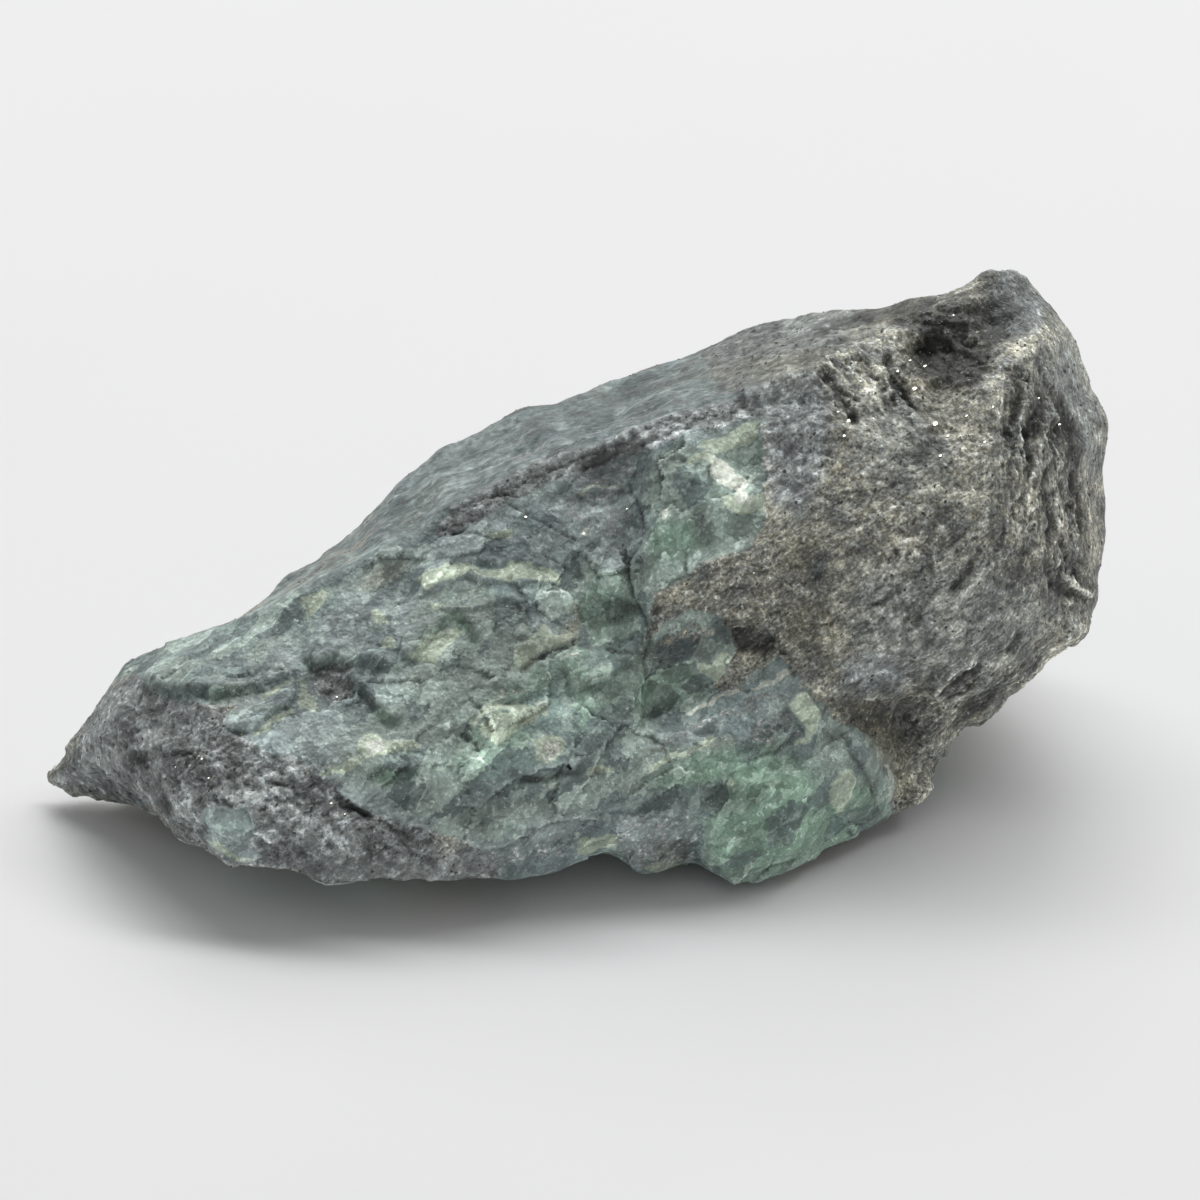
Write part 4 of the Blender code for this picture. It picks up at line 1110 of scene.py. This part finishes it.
def carved_stone():
    """The stone with its relief, and the values that its material reads."""
    stone = fine_stone()
    mesh = stone.data
    ends = edge_ends(mesh)
    spots = smoothed(vertex_places(mesh), ends, ROUNDING_PASSES)
    spots += SHRINKING_MADE_UP * (spots - smoothed(spots, ends, ROUNDING_PASSES))
    move(mesh, spots)
    ground = Ground(spots, vertex_normals(mesh))
    schist = schist_share(ground)
    height, plate, ribbed, lines = relief(ground, ramp(0.35, 0.65, schist))
    shaped = spots + ground.normals * height[:, None]
    shaped[:, 2] = np.maximum(shaped[:, 2], 0)
    move(mesh, shaped)
    edge, hump = edges_and_humps(ground, shaped, ends)
    values = {"schist": schist, "edge": edge, "hump": hump, "calm": ground.calm, "plate": plate,
              "tone": tone(ground, ribbed, lines), **colour_values(ground)}
    for name, value in values.items():
        mesh.attributes.new(name, "FLOAT", "POINT").data.foreach_set("value", value)
    mesh.shade_smooth()
    return stone, schist


# ---------------------------------------------------------------- materials
def srgb(red, green, blue):
    """A colour given as 0 to 255 screen values, as the linear values that shaders take."""
    parts = [value / 255 for value in (red, green, blue)]
    return tuple(part / 12.92 if part < 0.04 else ((part + 0.055) / 1.055) ** 2.4 for part in parts) + (1,)


EMERALD_GREY = srgb(157, 172, 165)
EMERALD_GREEN = srgb(141, 170, 151)
EMERALD_BLUISH = srgb(162, 176, 177)
EMERALD_DEEP = srgb(140, 160, 160)
EMERALD_VEIL = srgb(184, 200, 188)
EMERALD_CREAM = srgb(198, 211, 190)
EMERALD_STAIN = srgb(154, 146, 118)
SCHIST_GREY = srgb(154, 157, 152)
SCHIST_WARM = srgb(158, 158, 147)
SCHIST_BROWN = srgb(166, 163, 145)
SCHIST_BLUISH = srgb(148, 155, 155)
SCHIST_PALE = srgb(188, 196, 198)
SCHIST_STAIN = srgb(150, 146, 122)
VEIN_WHITE_AND_HIGHLIGHT = srgb(214, 220, 208)
WORN_EDGE = srgb(196, 203, 198)
PAINTED_GLINT_WHITE = srgb(214, 220, 214)
MICA_DARK = srgb(70, 69, 62)
MICA_BRIGHT = srgb(190, 190, 176)
FLOOR_COLOURS = (srgb(238, 238, 239), srgb(241, 241, 242))
STROKE_LEAN = 38  # degrees in the picture that fine strokes rise to the right
OTHER_STROKES = (("falling", -52), ("upright", 92))
BUMP_MM = 0.18
FLAKE_BUMP_MM = 0.02


class Graph:
    """Short calls that add linked nodes to one material. Texture places are in millimetres."""

    def __init__(self, name):
        self.material = bpy.data.materials.new(name)
        self.material.use_nodes = True
        self.tree = self.material.node_tree
        self.shader = self.tree.nodes["Principled BSDF"]
        in_metres = self.add("ShaderNodeTexCoord").outputs["Object"]
        inputs = {"Vector": in_metres, "Scale": (1 / MM, 1 / MM, 1 / MM)}
        self.place = self.add("ShaderNodeMapping", inputs).outputs["Vector"]

    def set(self, socket, value):
        """Links a node's output to the socket, or gives the socket a plain value."""
        if isinstance(value, bpy.types.NodeSocket):
            self.tree.links.new(value, socket)
        else:
            socket.default_value = value

    def add(self, kind, inputs=None, **settings):
        node = self.tree.nodes.new(kind)
        for key, value in settings.items():
            setattr(node, key, value)
        for key, value in (inputs or {}).items():
            self.set(node.inputs[key], value)
        return node

    def value(self, name):
        """One of the values that the mesh keeps."""
        return self.add("ShaderNodeAttribute", attribute_name=name).outputs["Fac"]

    def math(self, operation, first, second=0.0, third=0.0):
        return self.add("ShaderNodeMath", {0: first, 1: second, 2: third}, operation=operation).outputs[0]

    def times(self, first, second):
        return self.math("MULTIPLY", first, second)

    def plus(self, first, second):
        return self.math("ADD", first, second)

    def above(self, value, middle):
        """How far the value is above a middle."""
        return self.math("SUBTRACT", value, middle)

    def total(self, start, *terms):
        """start, and each term's value times its amount."""
        for value, amount in terms:
            start = self.math("MULTIPLY_ADD", value, amount, start)
        return start

    def less(self, name, share):
        """1, less the given share where the mesh's value is 1."""
        return self.math("MULTIPLY_ADD", self.value(name), -share, 1.0)

    def fade(self, value, low, high, start=0.0, end=1.0):
        """start at low, end at high, and a smooth change between."""
        inputs = {"Value": value, "From Min": low, "From Max": high, "To Min": start, "To Max": end}
        return self.add("ShaderNodeMapRange", inputs, interpolation_type="SMOOTHSTEP").outputs["Result"]

    def mix(self, amount, first, second):
        """One colour over another."""
        return self.add("ShaderNodeMix", {0: amount, 6: first, 7: second}, data_type="RGBA").outputs[2]

    def blend(self, amount, first, second):
        """One value over another."""
        return self.add("ShaderNodeMix", {0: amount, 2: first, 3: second}).outputs[0]

    def drawn(self, degrees, times):
        """Texture places squeezed along a direction in the picture, so that strokes run that way."""
        turn = Vector(leaning(degrees)).to_track_quat("X", "Z").to_euler()
        inputs = {"Vector": self.place, "Rotation": turn, "Scale": (times, 1.0, 1.0)}
        return self.add("ShaderNodeMapping", inputs, vector_type="TEXTURE").outputs["Vector"]

    def noise(self, place, per_mm, detail=3.0, roughness=0.55):
        inputs = {"Vector": place, "Scale": per_mm, "Detail": detail, "Roughness": roughness}
        return self.add("ShaderNodeTexNoise", inputs).outputs["Fac"]

    def cells(self, place, per_mm):
        """A random value for each of the cells that the stone is split into."""
        node = self.add("ShaderNodeTexVoronoi", {"Vector": place, "Scale": per_mm})
        return self.add("ShaderNodeSeparateColor", {"Color": node.outputs["Color"]}).outputs["Red"]

    def bumped(self, height, depth_mm):
        inputs = {"Height": height, "Distance": depth_mm * MM, "Strength": 1.0}
        return self.add("ShaderNodeBump", inputs).outputs["Normal"]


def fine_strokes(graph, per_mm, times):
    """Fine strokes that rise to the right, and other ways where the mesh's values say so."""
    strokes = graph.noise(graph.drawn(STROKE_LEAN, times), per_mm, 2.0, 0.7)
    for name, degrees in OTHER_STROKES:
        other = graph.noise(graph.drawn(degrees, times), per_mm, 2.0, 0.7)
        strokes = graph.blend(graph.value(name), strokes, other)
    return strokes


def patches(graph, per_mm, ragged, times):
    """A random value for each flat patch of the broken emerald; the patches have ragged outlines."""
    node = graph.add("ShaderNodeVectorMath", {0: graph.drawn(PLATE_LEAN, times), 1: ragged}, operation="ADD")
    return graph.cells(node.outputs[0], per_mm)


class Noises:
    """The noises that the stone's colours, tones and gloss share."""

    def __init__(self, graph):
        self.mottle = graph.noise(graph.place, 0.35, 2.0, 0.6)
        self.grain = graph.noise(graph.place, 3.6, 2.0, 0.75)
        self.ragged = graph.noise(graph.place, 1.2, 3.0, 0.65)
        self.strokes = fine_strokes(graph, 3.0, 3.6)
        self.shift = graph.noise(graph.place, 1.6, 1.0, 0.6)
        self.large = patches(graph, 0.42, self.shift, 1.8)
        self.small = patches(graph, 1.3, self.shift, 1.6)


def broken(graph, name, ragged):
    """One of the mesh's zones, with its outline broken up by noise."""
    value = graph.plus(graph.value(name), graph.math("MULTIPLY_ADD", ragged, 0.7, -0.35))
    return graph.fade(value, 0.42, 0.58)


def emerald_colour(graph, noises):
    green = graph.plus(graph.value("green"), graph.math("MULTIPLY_ADD", noises.mottle, 0.4, -0.2))
    veil = graph.times(graph.fade(noises.small, 0.70, 0.74), graph.fade(noises.ragged, 0.44, 0.52))
    cream = graph.times(broken(graph, "cream", noises.ragged), 0.9)
    colour = graph.mix(graph.fade(green, 0.0, 1.0), EMERALD_GREY, EMERALD_GREEN)
    colour = graph.mix(graph.fade(graph.value("blue"), 0.0, 1.0, 0.0, 0.7), colour, EMERALD_BLUISH)
    colour = graph.mix(graph.fade(noises.large, 0.34, 0.28, 0.0, 0.6), colour, EMERALD_DEEP)
    colour = graph.mix(graph.times(veil, 0.4), colour, EMERALD_VEIL)
    colour = graph.mix(cream, colour, EMERALD_CREAM)
    return graph.mix(graph.fade(graph.value("stain"), 0.1, 1.0, 0.0, 0.5), colour, EMERALD_STAIN)


def schist_colour(graph, noises):
    blue = graph.value("blue")
    pale = graph.times(graph.fade(noises.ragged, 0.52, 0.64, 0.0, 0.8), graph.fade(blue, 0.4, 1.0))
    colour = graph.mix(graph.fade(noises.mottle, 0.38, 0.62), SCHIST_GREY, SCHIST_WARM)
    colour = graph.mix(graph.fade(noises.shift, 0.48, 0.60, 0.0, 0.6), colour, SCHIST_BROWN)
    colour = graph.mix(graph.fade(blue, 0.0, 1.0, 0.0, 0.85), colour, SCHIST_BLUISH)
    colour = graph.mix(pale, colour, SCHIST_PALE)
    return graph.mix(graph.fade(graph.value("stain"), 0.1, 1.0, 0.0, 0.5), colour, SCHIST_STAIN)


def emerald_tone(graph, noises, stroked, grained):
    """How many stops lighter or darker than its colour the emerald is."""
    return graph.total(
        0.0,
        (graph.above(noises.ragged, 0.5), 0.6),
        (grained, 0.28),
        (graph.fade(noises.grain, 0.60, 0.68), 0.55),
        (graph.above(noises.mottle, 0.5), 0.8),
        (graph.above(noises.large, 0.53), 1.15),
        (graph.above(noises.small, 0.53), 0.85),
        (graph.value("plate"), 0.2),
        (stroked, 0.3),
    )


def schist_tone(graph, noises, stroked, grained):
    """How many stops lighter or darker than its colour the schist is. Its bluish part is calmer."""
    fine = graph.total(
        0.0,
        (grained, 0.9),
        (stroked, 1.0),
        (graph.fade(noises.grain, 0.60, 0.66), 0.6),
        (graph.fade(noises.grain, 0.40, 0.34), -0.7),
        (graph.above(noises.ragged, 0.5), 3.2),
    )
    calmer = graph.times(fine, graph.less("blue", 0.35))
    return graph.total(graph.above(calmer, 2.1), (noises.mottle, 4.0), (graph.value("plate"), 0.3))


def stone_tone(graph, noises, schist):
    """How many stops lighter or darker than its colour each place is."""
    stroked = graph.times(graph.fade(noises.strokes, 0.40, 0.60, -0.5, 0.5), graph.less("calm", 0.9))
    grained = graph.fade(noises.grain, 0.36, 0.64, -0.5, 0.5)
    own = graph.blend(schist, emerald_tone(graph, noises, stroked, grained),
                      schist_tone(graph, noises, stroked, grained))
    edge = graph.value("edge")
    return graph.total(
        graph.times(own, graph.less("calm", 0.55)),
        (graph.value("tone"), 1.0),
        # creases and wider hollows are darkened as painted shade; edges that stand out get a little lighter,
        # as worn
        (graph.fade(edge, -0.01, -0.09), -0.7),
        (graph.fade(edge, 0.01, 0.08), 0.3),
        (graph.fade(graph.value("hump"), 0.0, -0.4), -0.8),
    )


def stone_colour(graph, noises, schist):
    """Emerald and schist with the pale vein and painted highlights, worn edges and painted glints of fine
    mica.
    """
    worn = graph.times(graph.fade(graph.value("edge"), 0.012, 0.07), graph.fade(noises.ragged, 0.4, 0.6))
    # painted glints: small specks of fine mica mixed towards a pale colour after the tone, so they stay
    # bright where shaded
    painted_glint = graph.fade(graph.noise(graph.drawn(STROKE_LEAN, 1.8), 4.8, 1.0, 0.6), 0.66, 0.72)
    painted_glint = graph.times(painted_glint, graph.fade(noises.ragged, 0.42, 0.60))
    brightness = graph.math("POWER", 2.0, stone_tone(graph, noises, schist))
    colour = graph.mix(schist, emerald_colour(graph, noises), schist_colour(graph, noises))
    # pale veins, with painted highlights on the cleavage faces that catch the lamps
    colour = graph.mix(broken(graph, "vein_and_highlight", noises.ragged), colour, VEIN_WHITE_AND_HIGHLIGHT)
    colour = graph.mix(graph.times(worn, 0.35), colour, WORN_EDGE)
    scaled = graph.add("ShaderNodeVectorMath", {0: colour, "Scale": brightness}, operation="SCALE")
    return graph.mix(graph.times(painted_glint, 0.7), scaled.outputs[0], PAINTED_GLINT_WHITE)


def stone_material():
    graph = Graph("emerald_schist")
    noises = Noises(graph)
    schist = broken(graph, "schist", noises.ragged)
    grain_height = graph.times(noises.grain, graph.blend(schist, 0.2, 0.45))
    graph.set(graph.shader.inputs["Base Color"], stone_colour(graph, noises, schist))
    graph.set(graph.shader.inputs["Roughness"], graph.fade(noises.grain, 0.3, 0.7, 0.40, 0.66))
    graph.set(graph.shader.inputs["Normal"], graph.bumped(graph.plus(grain_height, noises.shift), BUMP_MM))
    return graph.material


def mica_material(name, colour, metallic, roughness):
    """A bright, slightly uneven cleavage face."""
    graph = Graph(name)
    cloudy = graph.noise(graph.place, 2.5)
    pale = tuple(part * 1.5 for part in colour[:3]) + (1,)
    graph.set(graph.shader.inputs["Base Color"], graph.mix(cloudy, colour, pale))
    graph.set(graph.shader.inputs["Normal"], graph.bumped(cloudy, FLAKE_BUMP_MM))
    graph.set(graph.shader.inputs["Metallic"], metallic)
    graph.set(graph.shader.inputs["Roughness"], roughness)
    return graph.material


# ---------------------------------------------------------------- mica flakes
FLAKE_COUNT = 1800
FLAKE_MM = (0.08, 0.24)  # smallest and largest half width
FLAKE_THICK_MM = 0.05
FLAKE_TILT = 0.22
FLAKE_CORNERS = 6
LOWEST_FLAKE_MM = 1.5
BRIGHT_SHARE = 0.05
GLINT_LIFT_MM = 0.06
SEED = 20
# (half width in mm, x, y): the flakes that flash in the picture
GLINTS = [
    (0.38, 915, 388), (0.22, 925, 367), (0.32, 935, 425), (0.22, 940, 455), (0.17, 966, 416),
    (0.17, 985, 442), (0.27, 848, 421), (0.18, 845, 435), (0.20, 1059, 425), (0.15, 1038, 399),
    (0.15, 910, 361), (0.14, 862, 381), (0.15, 953, 316), (0.18, 905, 738), (0.17, 908, 750),
    (0.18, 583, 533), (0.15, 525, 517), (0.15, 627, 510), (0.14, 673, 665), (0.12, 338, 698),
    (0.15, 243, 735), (0.17, 203, 758), (0.14, 208, 778), (0.14, 176, 766), (0.15, 332, 803),
    (0.12, 345, 815), (0.12, 296, 747), (0.11, 354, 726), (0.12, 669, 804), (0.12, 700, 835),
    (0.11, 811, 824), (0.12, 860, 739), (0.14, 898, 372), (0.17, 947, 436), (0.15, 838, 412),
    (0.15, 992, 406), (0.14, 899, 616), (0.12, 926, 690),
]


def flake(bm, centre, facing, half_width, draw, slot):
    """Adds one thin six-sided plate, lying across facing, with the mesh's material number slot."""
    across = facing.orthogonal().normalized()
    down = facing.cross(across)
    turn = draw.uniform(0, math.tau)
    squeeze = draw.uniform(0.45, 1.0)
    rings = []
    for side in (1, -1):
        ring = []
        for corner in range(FLAKE_CORNERS):
            angle = turn + math.tau * corner / FLAKE_CORNERS
            reach = half_width * draw.uniform(0.45, 1.1)
            offset = across * math.cos(angle) * reach + down * math.sin(angle) * reach * squeeze
            ring.append(bm.verts.new((centre + offset + facing * side * FLAKE_THICK_MM / 2) * MM))
        rings.append(ring)
    upper, lower = rings
    faces = [bm.faces.new(upper), bm.faces.new(lower[::-1])]
    for corner in range(FLAKE_CORNERS):
        following = (corner + 1) % FLAKE_CORNERS
        faces.append(bm.faces.new((lower[corner], lower[following], upper[following], upper[corner])))
    for face in faces:
        face.material_index = slot


def scatter_flakes(bm, spots, normals, schist, draw):
    """Flakes at random places of the schist, half sunk in it."""
    allowed = np.flatnonzero((schist > 0.6) & (spots[:, 2] > LOWEST_FLAKE_MM))
    smallest, largest = FLAKE_MM
    for index in draw.choice(allowed, FLAKE_COUNT, replace=False):
        tilt = Vector(draw.normal(0, FLAKE_TILT, 3))
        facing = (Vector(normals[index]) + tilt).normalized()
        half_width = smallest + (largest - smallest) * draw.random() ** 2.2
        bright = draw.random() < BRIGHT_SHARE
        flake(bm, Vector(spots[index]), facing, half_width, draw, int(bright))


def add_glints(bm, spots, normals, draw):
    """The chosen flakes, turned so that they throw the first lamp's light at the camera."""
    x, y = picture_place(spots)
    seen = normals @ OUT > 0.1
    flash = (Vector(OUT) + Vector(LIGHTS[0][1]).normalized()).normalized()
    for half_width, glint_x, glint_y in GLINTS:
        index = int(np.argmin(np.where(seen, np.hypot(x - glint_x, y - glint_y), 1e9)))
        centre = Vector(spots[index]) + Vector(normals[index]) * GLINT_LIFT_MM
        flake(bm, centre, flash, half_width, draw, 1)


def add_flakes(stone, schist):
    draw = np.random.default_rng(SEED)
    spots = vertex_places(stone.data)
    normals = vertex_normals(stone.data)
    bm = bmesh.new()
    scatter_flakes(bm, spots, normals, schist, draw)
    add_glints(bm, spots, normals, draw)
    mesh = bpy.data.meshes.new("mica_flakes")
    bm.to_mesh(mesh)
    bm.free()
    mesh.materials.append(mica_material("mica_dark", MICA_DARK, 0.0, 0.35))
    mesh.materials.append(mica_material("mica_bright", MICA_BRIGHT, 0.75, 0.28))
    flakes = bpy.data.objects.new("mica_flakes", mesh)
    bpy.context.scene.collection.objects.link(flakes)
    return flakes


# ---------------------------------------------------------------- studio
def add_floor():
    bpy.ops.mesh.primitive_plane_add(size=6, location=(0, 0, 0))
    floor = bpy.context.object
    floor.name = "floor"
    graph = Graph("pale_floor")
    paper = graph.noise(graph.place, 0.02)
    graph.set(graph.shader.inputs["Base Color"], graph.mix(paper, *FLOOR_COLOURS))
    graph.set(graph.shader.inputs["Roughness"], 0.7)
    floor.data.materials.append(graph.material)


# (name, place in m, width and depth in m, watts); both look at the stone
LIGHTS = [
    ("softbox_above", (0.34, 0.95, 1.9), (3.6, 0.50), 37.5),
    ("softbox_behind", (0.0, 1.7, 1.5), (1.0, 1.0), 9.5),
]
AMBIENT = 0.30


def add_lights():
    for name, place, size, watts in LIGHTS:
        data = bpy.data.lights.new(name, "AREA")
        data.shape = "RECTANGLE"
        data.size, data.size_y = size
        data.energy = watts
        light = bpy.data.objects.new(name, data)
        bpy.context.scene.collection.objects.link(light)
        light.location = place
        light.rotation_euler = (light.location - Vector(LOOK_AT_MM) * MM).to_track_quat("Z", "Y").to_euler()
    world = bpy.data.worlds.new("studio")
    world.use_nodes = True
    world.node_tree.nodes["Background"].inputs["Color"].default_value = (1.0, 1.0, 1.0, 1.0)
    world.node_tree.nodes["Background"].inputs["Strength"].default_value = AMBIENT
    bpy.context.scene.world = world
    bpy.context.scene.view_settings.view_transform = "Standard"


def build():
    add_camera()
    stone, schist = carved_stone()
    stone.data.materials.clear()
    stone.data.materials.append(stone_material())
    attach(stone, "root")
    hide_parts("raw_emerald")
    flakes = add_flakes(stone, schist)
    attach(flakes, "root")
    add_floor()
    add_lights()


build()
